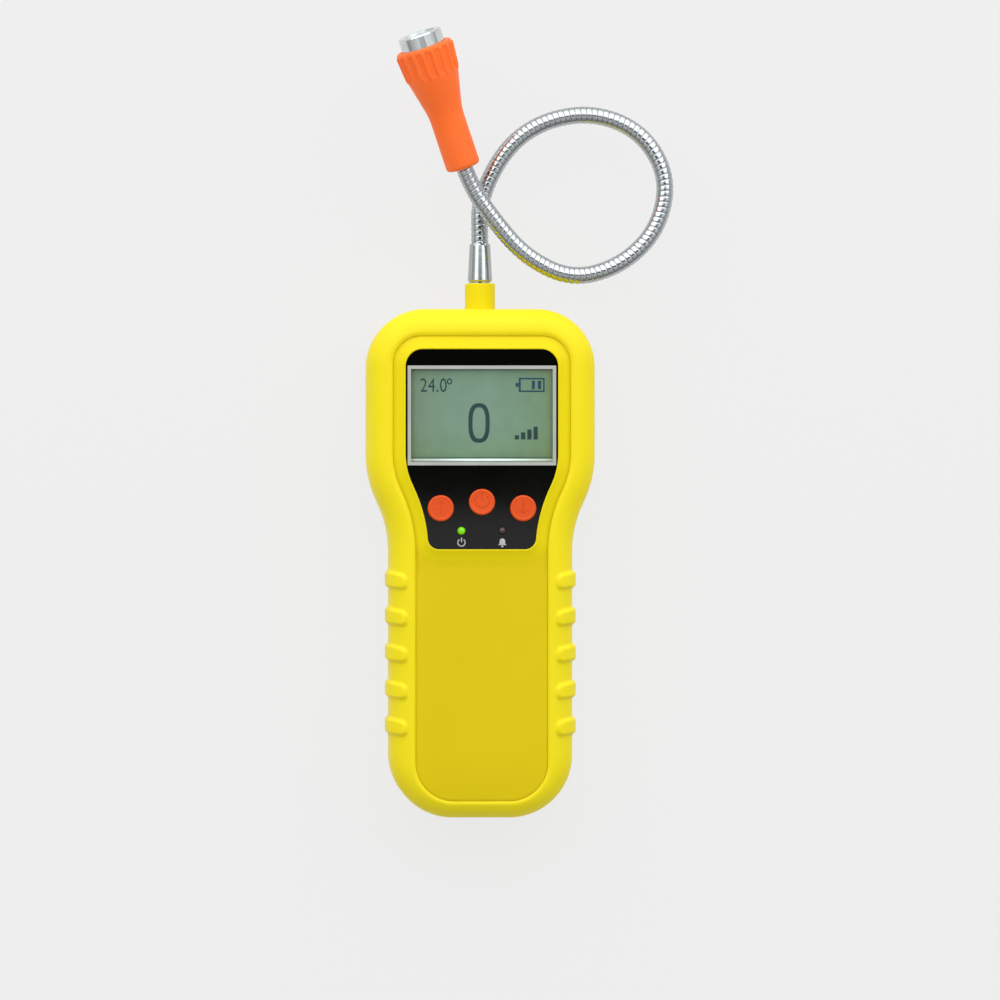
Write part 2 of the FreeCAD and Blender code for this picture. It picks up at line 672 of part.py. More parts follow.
def make_rear_shell():
    """Rear half: screw columns, the battery bay, a sounder grille and the seal's groove."""
    shell = half_shell("RearTray", False)
    columns = [cylinder("RearColumn%d" % (i + 1), "boss_radius", "neck_height - boot_wall - shell_wall / 2",
                        (x, y, boot_wall + shell_wall / 2)) for i, (x, y) in enumerate(case_places)]
    tub = box("BayTub", DOOR_WIDTH, BAY_LENGTH + " + 2 * bay_wall",
              BAY_FLOOR + " + " + BAY_DEPTH + " + bay_wall - boot_wall",
              (-door_width / 2, bay_centre_y - bay_length / 2 - bay_wall, boot_wall))
    ledge = box("DoorLedge", DOOR_WIDTH + " + 2 * (play + ledge_width)",
                DOOR_LENGTH + " + 2 * (play + ledge_width)", BAY_FLOOR + " + door_ledge - boot_wall",
                (-door_width / 2 - play - ledge_width,
                 bay_centre_y - door_length / 2 - play - ledge_width, boot_wall))
    stubs = [cylinder("DoorBoss%d" % (i + 1), "screw_head_radius + fit", "door_screw_length",
                      (0, y, bay_floor)) for i, y in enumerate(door_screw_places())]
    solid = fuse("RearSolid", [shell, tub, ledge, neck_half("Rear", False)] + columns + stubs)
    bay = box("BaySpace", BAY_WIDTH, BAY_LENGTH, BAY_FLOOR + " + " + BAY_DEPTH,
              (-bay_width / 2, bay_centre_y - bay_length / 2, 0))
    seat = box("DoorSeat", DOOR_WIDTH + " + 2 * play", DOOR_LENGTH + " + 2 * play", BAY_FLOOR,
               (-door_width / 2 - play, bay_centre_y - door_length / 2 - play, 0))
    slots = []
    for index in range(int(slot_count)):
        offset = (index - (slot_count - 1) / 2) * 2 * slot_width
        slots.append(box("GrilleSlot%d" % (index + 1), "2 * sounder_radius", "slot_width",
                         "boot_wall + 2 * shell_wall",
                         (-sounder_radius, sounder_y + offset - slot_width / 2, 0)))
    disc = cylinder("GrilleDisc", "sounder_radius", "boot_wall + 2 * shell_wall", (0, sounder_y, 0))
    tools = [bay, seat, common("Grille", fuse("GrilleSlots", slots), disc)]
    for i, (x, y) in enumerate(case_places):
        tools.append(cylinder("CaseHeadHole%d" % (i + 1), "screw_head_radius + play", "case_screw_seat",
                              (x, y, 0)))
        tools.append(cylinder("CaseShankHole%d" % (i + 1), "screw_radius + fit", "boot_depth", (x, y, 0)))
    for i, y in enumerate(door_screw_places()):
        tools.append(cylinder("DoorPilot%d" % (i + 1), "screw_radius",
                              "door_height + door_screw_length + screw_head_height", (0, y, 0)))
    for side, x in (("Plus", cell_places()[0]), ("Minus", cell_places()[2])):
        tools.append(box("TabSlot" + side, "tab_width + 2 * fit", "contact_thickness + 2 * fit", "boot_depth",
                         (x - tab_width / 2 - fit,
                          bay_centre_y + bay_length / 2 - contact_thickness - fit, neck_height)))
    tools.append(cylinder("RearNeckBore", "spigot_radius", "4 * neck_length",
                          (0, half_length - 2 * neck_length, neck_height), (0, 1, 0)))
    hollow = cut("RearCarved", solid, tools)
    keep(cut("RearShell", hollow, [seal_ring("SealGroove")]), "rear_shell")


def seal_ring(name):
    """The seal's ring, let into the rear half's rim and cut away at the neck."""
    body = new_body(name + "Ring")
    middle = boot_wall + shell_wall / 2
    edges = body_outline(middle - seal_width / 2)
    ring = pad(body, sketch(body, name + "Outer", "XY_Plane", edges, "neck_height - seal_width"),
               name + "Pad", "seal_width")
    inner = sketch(body, name + "Inner", "XY_Plane", body_outline(middle + seal_width / 2), "neck_height")
    pocket(body, inner, name + "Pocket", "seal_width")
    gap = cylinder(name + "Gap", "spigot_radius + boot_wall", "4 * neck_length",
                   (0, half_length - 2 * neck_length, neck_height), (0, 1, 0))
    return cut(name, body, [gap])


def door_screw_places():
    reach = (bay_length + 2 * bay_wall + door_margin) / 2
    return bay_centre_y - reach, bay_centre_y + reach


def cell_places():
    return [(i - 1) * (2 * cell_radius + cell_gap) for i in range(3)]


def make_battery():
    """Door with two screws, three round cells in series, and the sprung contacts."""
    plate = box("DoorPlate", DOOR_WIDTH, DOOR_LENGTH, "door_thickness",
                (-door_width / 2, bay_centre_y - door_length / 2, door_height))
    doc.recompute()
    corners = doc.addObject("Part::Fillet", "DoorCorners")
    corners.Base = plate
    corners.Edges = [(i + 1, door_corner, door_corner) for i, e in enumerate(plate.Shape.Edges)
                     if e.BoundBox.ZLength > door_thickness / 2]
    tools = []
    screws = []
    for i, y in enumerate(door_screw_places()):
        seat = door_height + screw_head_height
        tools.append(cylinder("DoorHead%d" % (i + 1), "screw_head_radius + fit",
                              "door_height + screw_head_height", (0, y, 0)))
        tools.append(cylinder("DoorShank%d" % (i + 1), "screw_radius + fit", "boot_depth", (0, y, 0)))
        screws.append(screw("DoorScrew%d" % (i + 1), (0, y, seat), (0, 0, 1), "door_screw_length"))
    keep(cut("BatteryDoor", corners, tools), "battery_door")
    keep(group("DoorScrews", screws), "door_screws")

    cells = []
    axis_height = bay_floor + cell_radius
    for i, x in enumerate(cell_places()):
        forward = i != 1
        start = bay_centre_y + bay_length / 2 - contact_thickness - cell_length
        if not forward:
            start = bay_centre_y - bay_length / 2 + contact_thickness
        can = cylinder("CellCan%d" % (i + 1), "cell_radius", "cell_length - cell_tip_length",
                       (x, start + (0 if forward else cell_tip_length), axis_height), (0, 1, 0))
        tip_start = start + (cell_length - 2 * cell_tip_length if forward else 0)
        tip = cylinder("CellTip%d" % (i + 1), "cell_tip_radius", "2 * cell_tip_length",
                       (x, tip_start, axis_height), (0, 1, 0))
        cells.append(fuse("Cell%d" % (i + 1), [can, tip]))
    keep(group("BatteryCells", cells), "battery_cells")

    plates = []
    far = bay_centre_y + bay_length / 2 - contact_thickness
    near = bay_centre_y - bay_length / 2
    low = axis_height - contact_width / 2
    left, middle, right = cell_places()
    pitch = "2 * cell_radius + cell_gap + contact_width"
    plates.append(box("LinkFar", pitch, "contact_thickness", "contact_width",
                      (middle - contact_width / 2, far, low)))
    plates.append(box("LinkNear", pitch, "contact_thickness", "contact_width",
                      (left - contact_width / 2, near, low)))
    end_far = box("EndFar", "contact_width", "contact_thickness", "contact_width",
                  (left - contact_width / 2, far, low))
    tab_far = box("TabFar", "tab_width", "contact_thickness", "boot_depth - board_drop - " + BAY_FLOOR
                  + " - cell_radius", (left - tab_width / 2, far, axis_height))
    plates.append(fuse("ContactPlus", [end_far, tab_far]))
    plates.append(box("ContactMinus", "contact_width", "contact_thickness", "contact_width",
                      (right - contact_width / 2, near, low)))
    for name, x, base, away in (("Left", left, near + contact_thickness, 1),
                                ("Middle", middle, far, -1),
                                ("Right", right, near + contact_thickness, 1)):
        plates.append(leaf_spring("Leaf" + name, x, base, away, axis_height))
    keep(group("BatteryContacts", plates), "battery_contacts")


def leaf_spring(name, x, base, away, height):
    """A folded strip that presses on the flat end of a cell."""
    body = new_body(name)
    thick = contact_thickness
    half = contact_width / 3
    tip = contact_spring
    points = [(0, -half), (thick, -half), (thick, 0), (tip, half - thick), (tip, half),
              (tip - thick, half), (0, thick)]
    shape = polygon([(away * y + base, z + height) for y, z in points])
    drawing = sketch(body, name + "Side", "YZ_Plane", shape)
    strip = pad(body, drawing, name + "Strip", "contact_width / 2")
    strip.Midplane = True
    body.Placement.Base.x = x
    return body


def make_seal_and_screws():
    keep(seal_ring("CaseSeal"), "case_seal")
    cases = [screw("CaseScrew%d" % (i + 1), (x, y, case_screw_seat), (0, 0, 1), "case_screw_length")
             for i, (x, y) in enumerate(case_places)]
    keep(group("CaseScrews", cases), "case_screws")
    boards = [screw("BoardScrew%d" % (i + 1), (x, y, board_height), (0, 0, 1), "board_screw_length")
              for i, (x, y) in enumerate(post_places)]
    keep(group("BoardScrews", boards), "board_screws")


# ---------------------------------------------------------------- board, display and keys


def make_board():
    """Circuit board on the front shell's posts, with its switches, sounder, motor and chips."""
    body = new_body("MainBoard")
    edges = outline(cavity_inset + board_margin, board_top, board_bottom, board_corner, board_corner)
    pad(body, sketch(body, "BoardPlan", "XY_Plane", edges, "boot_depth - board_drop"), "BoardPad",
        "board_thickness")
    holes = sketch(body, "BoardHoles", "XY_Plane", circles(screw_radius + fit, post_places), BOARD_FACE)
    pocket(body, holes, "BoardDrill", "2 * board_thickness")
    keep(body, "main_board")

    blocks = []
    for key, (x, y) in key_places.items():
        block = box("SwitchBlock" + key, "switch_side", "switch_side", "switch_height",
                    (x - switch_side / 2, y - switch_side / 2, board_face))
        bore = cylinder("SwitchBore" + key, "plunger_radius + joint_clearance", "switch_height",
                        (x, y, board_face + key_travel / 2))
        blocks.append(cut("Switch" + key, block, [bore]))
    keep(group("KeySwitches", blocks), "key_switches")

    below = (0, sounder_y, board_height - sounder_height)
    can = cylinder("SounderCan", "sounder_radius", "sounder_height", below)
    port = cylinder("SounderPort", "sounder_port", "sounder_height / 3", below)
    keep(cut("Sounder", can, [port]), "sounder")
    keep(cylinder("VibrationMotor", "motor_radius", "motor_height",
                  (motor_side, board_top - motor_drop, board_height - motor_height)), "vibration_motor")

    chips = []
    for index in range(int(chip_count)):
        x = (index - (chip_count - 1) / 2) * chip_pitch
        chips.append(box("Chip%d" % (index + 1), "chip_side", "chip_side", "chip_height",
                         (x - chip_side / 2, board_top - chip_drop - chip_side / 2,
                          board_height - chip_height)))
    keep(group("BoardChips", chips), "board_chips")


def make_display():
    """Black panel, clear window, display glass, light guide and the frame round them."""
    panel = new_body("DisplayPanel")
    pad(panel, sketch(panel, "PanelPlan", "XY_Plane", panel_outline(0), PANEL_BASE), "PanelPad",
        "panel_thickness")
    holes = rectangle(lcd_width + 2 * fit, lcd_length + 2 * fit, 0, lcd_centre_y)
    holes += circles(key_radius + fit, key_places.values())
    holes += circles(led_radius + fit, led_places.values())
    top = sketch(panel, "PanelHoles", "XY_Plane", holes, PANEL_TOP)
    pocket(panel, top, "PanelCut", "2 * panel_thickness")
    keep(panel, "display_panel")

    corner = (-lcd_width / 2, lcd_centre_y - lcd_length / 2, board_face)
    rim = box("FrameBlock", LCD_WIDTH, "lcd_length", PANEL_TOP + " - " + BOARD_FACE, corner)
    inner = (corner[0] + lcd_border, corner[1] + lcd_border)
    inner_width = LCD_WIDTH + " - 2 * lcd_border"
    inner_length = "lcd_length - 2 * lcd_border"
    hole = box("FrameHole", inner_width, inner_length, "2 * boot_depth", (*inner, 0))
    keep(cut("LcdFrame", rim, [hole]), "lcd_frame")
    window_base = panel_height + panel_thickness - lcd_window_thickness
    glass_base = window_base - lcd_glass_thickness
    keep(box("LcdWindow", inner_width, inner_length, "lcd_window_thickness", (*inner, window_base)),
         "lcd_window")
    keep(box("LcdGlass", inner_width, inner_length, "lcd_glass_thickness", (*inner, glass_base)),
         "lcd_glass")
    keep(box("Backlight", inner_width, inner_length,
             PANEL_TOP + " - lcd_window_thickness - lcd_glass_thickness - " + BOARD_FACE,
             (*inner, board_face)), "backlight")


def make_keys():
    """Round keys trapped under the panel, each pressing the plunger of its switch."""
    plunger_top = board_face + switch_height + key_travel + joint_clearance
    flange_top = panel_height - joint_clearance
    key_top = panel_height + panel_thickness + key_proud
    for key, (x, y) in key_places.items():
        body = new_body("Key" + key)
        profile = [(0, plunger_top), (key_stem_radius, plunger_top),
                   (key_stem_radius, flange_top - key_flange),
                   (key_radius + key_flange, flange_top - key_flange), (key_radius + key_flange, flange_top),
                   (key_radius, flange_top), (key_radius, key_top - 2 * key_crown),
                   (key_radius - key_crown, key_top - key_crown / 2), (key_radius / 2, key_top),
                   (0, key_top)]
        revolve(body, sketch(body, "KeyProfile" + key, "XZ_Plane", polygon(profile)), "KeyTurn" + key)
        body.Placement.Base = Vector(x, y, 0)
        keep(body, "button_" + key)
        keep(cylinder("KeyPlunger" + key, "plunger_radius", "plunger_length",
                      (x, y, plunger_top - plunger_length)), "key_plunger_" + key)


def make_lights():
    """Two round light-emitting diodes standing on the board, their domes just through the panel."""
    dome_top = panel_height + panel_thickness + led_radius / 2
    for light, (x, y) in led_places.items():
        body = new_body("Light" + light)
        shoulder = dome_top - led_radius
        profile = [line(0, board_face, led_radius, board_face),
                   line(led_radius, board_face, led_radius, shoulder),
                   arc(0, shoulder, led_radius, 0, math.pi / 2), line(0, dome_top, 0, board_face)]
        revolve(body, sketch(body, "LightProfile" + light, "XZ_Plane", profile), "LightTurn" + light)
        body.Placement.Base = Vector(x, y, 0)
        keep(body, "led_" + light)


# ---------------------------------------------------------------- ferrule, gooseneck and lead

lead_start = ferrule_end - hose_in_ferrule
probe_axis = Vector(-math.sin(math.radians(probe_turn)) * math.cos(math.radians(probe_tilt)),
                    math.cos(math.radians(probe_turn)) * math.cos(math.radians(probe_tilt)),
                    math.sin(math.radians(probe_tilt)))
route = [Vector(0, -hose_in_ferrule, 0), Vector(0, 1.2, 0), Vector(-0.3, 15.9, 0),
         Vector(9.2, 34.3, 0.2), Vector(23, 43.9, 0.6), Vector(40.9, 46.5, 1.1), Vector(57.7, 39.3, 1.7),
         Vector(66.7, 23.2, 2.4), Vector(63, 5.1, 3.2), Vector(50.4, -7.6, 4.2), Vector(32.7, -12.9, 5.5),
         Vector(15.9, -5, 7), Vector(4.2, 8.5, 8.9), Vector(-4.25, 20.9, 10.6)]
route = [Vector(0, ferrule_end, neck_height) + point for point in route]
route.append(route[-1] + probe_axis * 2 * hose_in_grip)
hinge_runs = [1, 3, 5, 7, 9, 11, 12]


def run_middle(index):
    return (route[index] + route[index + 1]) * 0.5


def setback(index):
    """How far before a corner of the route its arc starts."""
    return arc_reach(*route[index - 1:index + 2])


def arc_reach(before, corner, after):
    return ARC_SHARE * min(before.distanceToPoint(corner), corner.distanceToPoint(after))


def path(points, setbacks):
    """Straight runs joined by tangent arcs, as one wire."""
    edges = []
    start = points[0]
    for corner, after, reach in zip(points[1:-1], points[2:], setbacks):
        enter = corner + (start - corner).normalize() * reach
        leave = corner + (after - corner).normalize() * reach
        turn = (corner - start).getAngle(after - corner)
        radius = reach / math.tan(turn / 2)
        towards = ((enter + leave) * 0.5 - corner).normalize()
        middle = corner + towards * (radius / math.cos(turn / 2) - radius)
        edges.append(Part.LineSegment(start, enter).toShape())
        edges.append(Part.Arc(enter, middle, leave).toShape())
        start = leave
    edges.append(Part.LineSegment(start, points[-1]).toShape())
    return Part.Wire(edges)


def tube(points, setbacks, radius):
    """A round bar along the path, with the volume of its section times its length."""
    wire = path(points, setbacks)
    direction = (points[1] - points[0]).normalize()
    section = Part.Wire(Part.makeCircle(radius, points[0], direction))
    solid = wire.makePipeShell([section], True, False)
    expected = math.pi * radius ** 2 * wire.Length
    if abs(solid.Volume - expected) > 0.01 * expected:
        raise ValueError("a tube's volume is wrong")
    return solid


def make_ferrule():
    """Chromed end fitting: a spigot through the neck, a collar outside and a blind seat for the hose."""
    body = new_body("Ferrule")
    end = neck_end + ferrule_groove
    nut_start = half_length - cavity_inset - nut_thickness
    spigot_end = nut_start - spigot_tail
    bevel = ferrule_chamfer / 2
    profile = [(lead_radius, spigot_end), (spigot_radius, spigot_end), (spigot_radius, neck_end),
               (ferrule_tip_radius, neck_end), (ferrule_tip_radius, end), (ferrule_radius - bevel, end),
               (ferrule_radius, end + ferrule_chamfer),
               (ferrule_tip_radius, ferrule_end - ferrule_chamfer),
               (ferrule_tip_radius - bevel, ferrule_end), (hose_radius + mouth_flare, ferrule_end),
               (hose_radius, ferrule_end - ferrule_mouth), (hose_radius, lead_start),
               (lead_radius, lead_start)]
    revolve(body, sketch(body, "FerruleProfile", "XZ_Plane", polygon(profile)), "FerruleTurn")
    body.Placement = FreeCAD.Placement(Vector(0, 0, neck_height), Rotation(UP, Vector(0, 1, 0)))
    keep(body, "ferrule")

    nut = new_body("NeckNut")
    reach = nut_across / math.sqrt(3)
    corners = [(reach * math.cos(math.radians(60 * i)), reach * math.sin(math.radians(60 * i)))
               for i in range(6)]
    plan = sketch(nut, "NutPlan", "XY_Plane", polygon(corners) + circles(spigot_radius, [(0, 0)]))
    pad(nut, plan, "NutPad", "nut_thickness")
    nut.Placement = FreeCAD.Placement(Vector(0, nut_start, neck_height), Rotation(UP, Vector(0, 1, 0)))
    keep(nut, "neck_nut")

    bend = Vector(0, spigot_end - lead_room, neck_height)
    socket = Vector(lead_side, bend.y - 2 * lead_room, board_height - plug_height + lead_radius)
    middle = Vector((bend.x + socket.x) / 2, (bend.y + socket.y) / 2, bend.z)
    points = [Vector(0, lead_start, neck_height), bend, middle, socket]
    reaches = [arc_reach(*points[:3]), arc_reach(*points[1:])]
    lead = doc.addObject("Part::Feature", "HandsetLead")
    lead.Shape = tube(points, reaches, lead_radius)
    keep(lead, "handset_lead")
    plug = box("LeadPlugBlock", "plug_side", "plug_side", "plug_height",
               (socket.x - plug_side / 3, socket.y - plug_side, board_height - plug_height))
    keep(cut("LeadPlugCut", plug, [lead]), "lead_plug")


def make_gooseneck():
    """Interlocked metal hose in spans that meet in ball-and-cup joints, with the lead inside."""
    stops = [0] + [run + 1 for run in hinge_runs] + [len(route) - 1]
    for number in range(len(hinge_runs) + 1):
        first, last = number == 0, number == len(hinge_runs)
        start = route[0] if first else run_middle(hinge_runs[number - 1])
        end = route[-1] if last else run_middle(hinge_runs[number])
        inner = range(max(stops[number], 1), hinge_runs[number] + 1 if not last else len(route) - 1)
        points = [start] + [route[i] for i in inner] + [end]
        reaches = [setback(i) for i in inner]
        solid = tube(points, reaches, hose_radius)
        core_points = points[:-1] + [end]
        if not last:
            forward = (end - points[-2]).normalize()
            solid = solid.fuse(Part.makeSphere(hose_radius, end))
            core_points[-1] = end + forward * 0.8 * hose_radius
        bore_points = core_points[:-1] + [core_points[-1] + (end - points[-2]).normalize() * hose_radius]
        solid = solid.cut(tube(bore_points, reaches, lead_radius))
        core = tube(core_points, reaches, lead_radius)
        if not first:
            backward = (start - points[1]).normalize()
            cup = Part.makeSphere(hose_radius + joint_clearance, start)
            trim = Part.makeCylinder(2 * hose_radius, hose_radius + cup_setback,
                                     start + backward * hose_radius, backward * -1)
            solid = solid.cut(cup).cut(trim)
            core = core.cut(Part.makeSphere(hose_radius + 2 * joint_clearance, start))
        span = doc.addObject("Part::Feature", "GooseneckSpan%d" % (number + 1))
        span.Shape = solid.removeSplitter().Solids[0]
        keep(span, "gooseneck_span_%d" % (number + 1))
        lead = doc.addObject("Part::Feature", "LeadCore%d" % (number + 1))
        lead.Shape = core.Solids[0]
        keep(lead, "lead_core_%d" % (number + 1))


# ---------------------------------------------------------------- probe


def probe_frame():
    """The probe's own frame: its tail at the origin, its axis along +Z."""
    return FreeCAD.Placement(route[-1] - probe_axis * hose_in_grip, Rotation(UP, probe_axis))


def turned(name, label, geometry):
    """A turned piece of the probe."""
    body = new_body(name)
    revolve(body, sketch(body, name + "Profile", "XZ_Plane", geometry), name + "Turn")
    body.Placement = probe_frame()
    return keep(body, label) if label else body


def ring(name, label, inner, outer, base, top):
    """A plain turned disc or ring of the probe."""
    return turned(name, label, polygon([(inner, base), (outer, base), (outer, top), (inner, top)]))


def make_probe():
    """Orange grip with ridges round its mouth, and the sensor stack under a chromed cap."""
    cap_inner = cap_radius - cap_wall
    stop = grip_length - cap_skirt
    sensor_base = grip_length - sensor_drop
    sensor_top = sensor_base + sensor_height
    board_base = sensor_base - sensor_board_thickness
    crimp_end = hose_in_grip + crimp_length
    mouth = cap_radius + fit
    crimp_radius = grip_radius - grip_wall

    rest = grip_flare_round - grip_flare_radius + grip_radius
    run = grip_band_start - grip_straight
    sweep = math.asin(grip_flare_round / math.hypot(run, rest)) - math.atan2(rest, run)
    flare_end = (grip_radius + grip_flare_round * (1 - math.cos(sweep)),
                 grip_straight + grip_flare_round * math.sin(sweep))
    outer = [line(hose_radius, 0, grip_radius - grip_tail_round, 0),
             arc(grip_radius - grip_tail_round, grip_tail_round, grip_tail_round, -math.pi / 2, 0),
             line(grip_radius, grip_tail_round, grip_radius, grip_straight),
             arc(grip_radius + grip_flare_round, grip_straight, grip_flare_round, math.pi - sweep, math.pi),
             line(*flare_end, grip_flare_radius, grip_band_start),
             line(grip_flare_radius, grip_band_start, grip_top_radius, grip_length - grip_shoulder),
             arc(grip_top_radius - grip_shoulder, grip_length - grip_shoulder, grip_shoulder,
                 0, math.pi / 2),
             line(grip_top_radius - grip_shoulder, grip_length, mouth, grip_length)]
    inner = [(mouth, grip_length), (mouth, stop), (cap_inner, stop), (cap_inner, board_base),
             (crimp_radius, grip_straight), (crimp_radius, crimp_end),
             (hose_radius, crimp_end - crimp_taper), (hose_radius, 0)]
    outer += [line(*a, *b) for a, b in zip(inner, inner[1:])]
    grip = turned("Grip", None, outer)
    lean = math.atan2(grip_top_radius - grip_flare_radius, grip_length - grip_shoulder - grip_band_start)
    foot = grip_flare_radius + ridge_rise - ridge_radius
    bars = []
    for index in range(int(ridge_count)):
        angle = 2 * math.pi * index / ridge_count
        bar = doc.addObject("Part::Cylinder", "RidgeBar%d" % (index + 1))
        bind(bar, Radius="ridge_radius", Height="grip_length - grip_band_start - ridge_end_gap")
        local = FreeCAD.Placement(Vector(foot * math.cos(angle), foot * math.sin(angle), grip_band_start),
                                  Rotation(Vector(-math.sin(angle), math.cos(angle), 0), math.degrees(lean)))
        bar.Placement = probe_frame().multiply(local)
        bars.append(bar)
    keep(fuse("ProbeGrip", [grip] + bars), "probe_grip")

    top = grip_length + cap_proud
    mesh_top = top - mesh_recess
    mesh_base = mesh_top - mesh_thickness
    hole = cap_inner - cap_rim
    cap = polygon([(cap_inner, stop), (cap_radius, stop), (cap_radius, top - cap_edge),
                   (cap_radius - cap_edge, top), (hole, top), (hole, mesh_top), (cap_inner, mesh_top)])
    turned("SensorCap", "sensor_cap", cap)
    ring("SensorMesh", "sensor_mesh", 0, cap_inner, mesh_base, mesh_top)
    ring("SensorSeal", "sensor_seal", sensor_radius - sensor_seal_width, cap_inner, sensor_top, mesh_base)
    ring("GasSensor", "gas_sensor", 0, sensor_radius, sensor_base, sensor_top)
    ring("SensorBoard", "sensor_board", 0, cap_inner, board_base, sensor_base)
    crimp = polygon([(lead_radius, hose_in_grip), (hose_radius, hose_in_grip),
                     (hose_radius, crimp_end - crimp_taper), (crimp_radius, crimp_end),
                     (crimp_radius, crimp_end + crimp_taper), (lead_radius, crimp_end + crimp_taper)])
    turned("HoseCrimp", "hose_crimp", crimp)
    ring("ProbeLead", "probe_lead", 0, lead_radius, hose_in_grip, board_base)


# ---------------------------------------------------------------- build, check and write

make_boot()
make_front_shell()
make_rear_shell()
make_battery()
make_seal_and_screws()
make_board()
make_display()
make_keys()
make_lights()
make_ferrule()
make_gooseneck()
make_probe()
doc.recompute()

for obj in doc.Objects:
    if "Invalid" in obj.State or "Error" in obj.State:
        raise ValueError("%s failed to build" % obj.Label)
for obj in nodes:
    if obj.Shape.isNull() or not obj.Shape.isValid() or not obj.Shape.Solids:
        raise ValueError("%s has no sound shape" % obj.Label)

os.makedirs("parts", exist_ok=True)
for obj in nodes:
    obj.Shape.exportStep("parts/%s.step" % obj.Label)
    print("%-20s %d solid(s), %.1f mm3" % (obj.Label, len(obj.Shape.Solids), obj.Shape.Volume))

for index in range(1, len(route) - 1):
    bend = (route[index] - route[index - 1]).getAngle(route[index + 1] - route[index])
    print("corner %d: radius %.1f mm" % (index, setback(index) / math.tan(bend / 2)))
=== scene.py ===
import math

import bpy
import numpy as np
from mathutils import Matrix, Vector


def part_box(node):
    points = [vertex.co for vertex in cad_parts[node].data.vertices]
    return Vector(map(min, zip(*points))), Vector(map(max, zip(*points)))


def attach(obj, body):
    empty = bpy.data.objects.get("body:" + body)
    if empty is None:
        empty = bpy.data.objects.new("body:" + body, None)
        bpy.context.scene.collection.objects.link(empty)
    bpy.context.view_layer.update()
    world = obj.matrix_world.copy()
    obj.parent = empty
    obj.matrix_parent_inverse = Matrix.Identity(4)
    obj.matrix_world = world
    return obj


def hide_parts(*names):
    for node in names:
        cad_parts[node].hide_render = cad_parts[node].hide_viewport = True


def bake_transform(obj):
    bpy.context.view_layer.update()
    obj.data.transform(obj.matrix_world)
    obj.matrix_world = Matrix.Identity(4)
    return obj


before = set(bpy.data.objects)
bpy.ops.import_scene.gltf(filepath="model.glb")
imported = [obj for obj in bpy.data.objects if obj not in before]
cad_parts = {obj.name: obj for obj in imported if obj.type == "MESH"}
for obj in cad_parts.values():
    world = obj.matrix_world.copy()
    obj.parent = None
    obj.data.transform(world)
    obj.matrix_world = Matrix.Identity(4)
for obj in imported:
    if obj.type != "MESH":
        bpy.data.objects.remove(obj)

MM = 0.001
TURN = 2 * math.pi
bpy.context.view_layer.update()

VIEW_WIDTH = 354 * MM
VIEW_CENTRE = (7.1 * MM, 22.3 * MM)
VIEW_DISTANCE = 3.0
VIEW_LEAN = math.radians(2.3)
MIDDLE_HEIGHT = 18 * MM
PALE = (0.855, 0.855, 0.855, 1)
PALE_SHARE = 0.9
ROOM_LIGHT = 0.54
NEAR_SHARE, NEAR_FULL = 0.45, -0.8
OVERHEAD = (0.010, 0.010, 0.009, 1)
ROOM_BANDS = ((0.2, (0.45, 0.46, 0.47, 1)), (0.5, (0.80, 0.82, 0.84, 1)), (0.8, (1.0, 1.02, 1.04, 1)),
              (0.925, (1.12, 1.14, 1.16, 1)), (0.956, (0.05, 0.06, 0.065, 1)))
TABLE_HALF, TABLE_TOP = 3.0, -0.1 * MM

camera_data = bpy.data.cameras.new("view_camera")
camera_data.sensor_width = 36
camera_data.lens = camera_data.sensor_width * VIEW_DISTANCE / VIEW_WIDTH
camera_data.clip_end = 20
camera = bpy.data.objects.new("view_camera", camera_data)
camera.rotation_euler = (0, -VIEW_LEAN, 0)
camera.location = (VIEW_CENTRE[0] - VIEW_DISTANCE * math.sin(VIEW_LEAN), VIEW_CENTRE[1],
                   MIDDLE_HEIGHT + VIEW_DISTANCE * math.cos(VIEW_LEAN))
bpy.context.scene.collection.objects.link(camera)
bpy.context.scene.camera = camera
bpy.context.scene.view_settings.view_transform = "Standard"


def seen_share(nodes, links, share):
    """The share that camera, glossy and transmission rays take, and 0 for all others."""
    path = nodes.new("ShaderNodeLightPath")
    seen = path.outputs["Is Camera Ray"]
    for ray in ("Is Glossy Ray", "Is Transmission Ray"):
        either = nodes.new("ShaderNodeMath")
        either.operation = "MAXIMUM"
        links.new(path.outputs[ray], either.inputs[0])
        links.new(seen, either.inputs[1])
        seen = either.outputs[0]
    scaled = nodes.new("ShaderNodeMath")
    scaled.operation = "MULTIPLY"
    links.new(seen, scaled.inputs[0])
    scaled.inputs[1].default_value = share
    return scaled.outputs[0]


# The room's light is even. To the eye and to polished metal it is pale at the sides and dark straight
# overhead, where the stand and its lens hang, and polished metal sees its near side dimmer.
room = bpy.data.worlds.new("room")
bpy.context.scene.world = room
room.use_nodes = True
room_nodes, room_links = room.node_tree.nodes, room.node_tree.links
room_light = room_nodes["Background"]
room_light.inputs["Color"].default_value = (1, 1, 1, 1)
room_light.inputs["Strength"].default_value = ROOM_LIGHT
backdrop = room_nodes.new("ShaderNodeBackground")
way = room_nodes.new("ShaderNodeTexCoord")
height = room_nodes.new("ShaderNodeSeparateXYZ")
room_links.new(way.outputs["Generated"], height.inputs["Vector"])
dome = room_nodes.new("ShaderNodeValToRGB")
dome.color_ramp.elements[0].position, dome.color_ramp.elements[1].position = 0.0, 1.0
dome.color_ramp.elements[0].color = PALE
dome.color_ramp.elements[1].color = OVERHEAD
for position, colour in ROOM_BANDS:
    dome.color_ramp.elements.new(position).color = colour
room_links.new(height.outputs["Z"], dome.inputs["Fac"])
room_links.new(dome.outputs["Color"], backdrop.inputs["Color"])
near_side = room_nodes.new("ShaderNodeMath")
near_side.operation = "MULTIPLY_ADD"
near_side.inputs[1].default_value, near_side.inputs[2].default_value = NEAR_SHARE - 1, 1
room_links.new(room_nodes.new("ShaderNodeLightPath").outputs["Is Glossy Ray"], near_side.inputs[0])
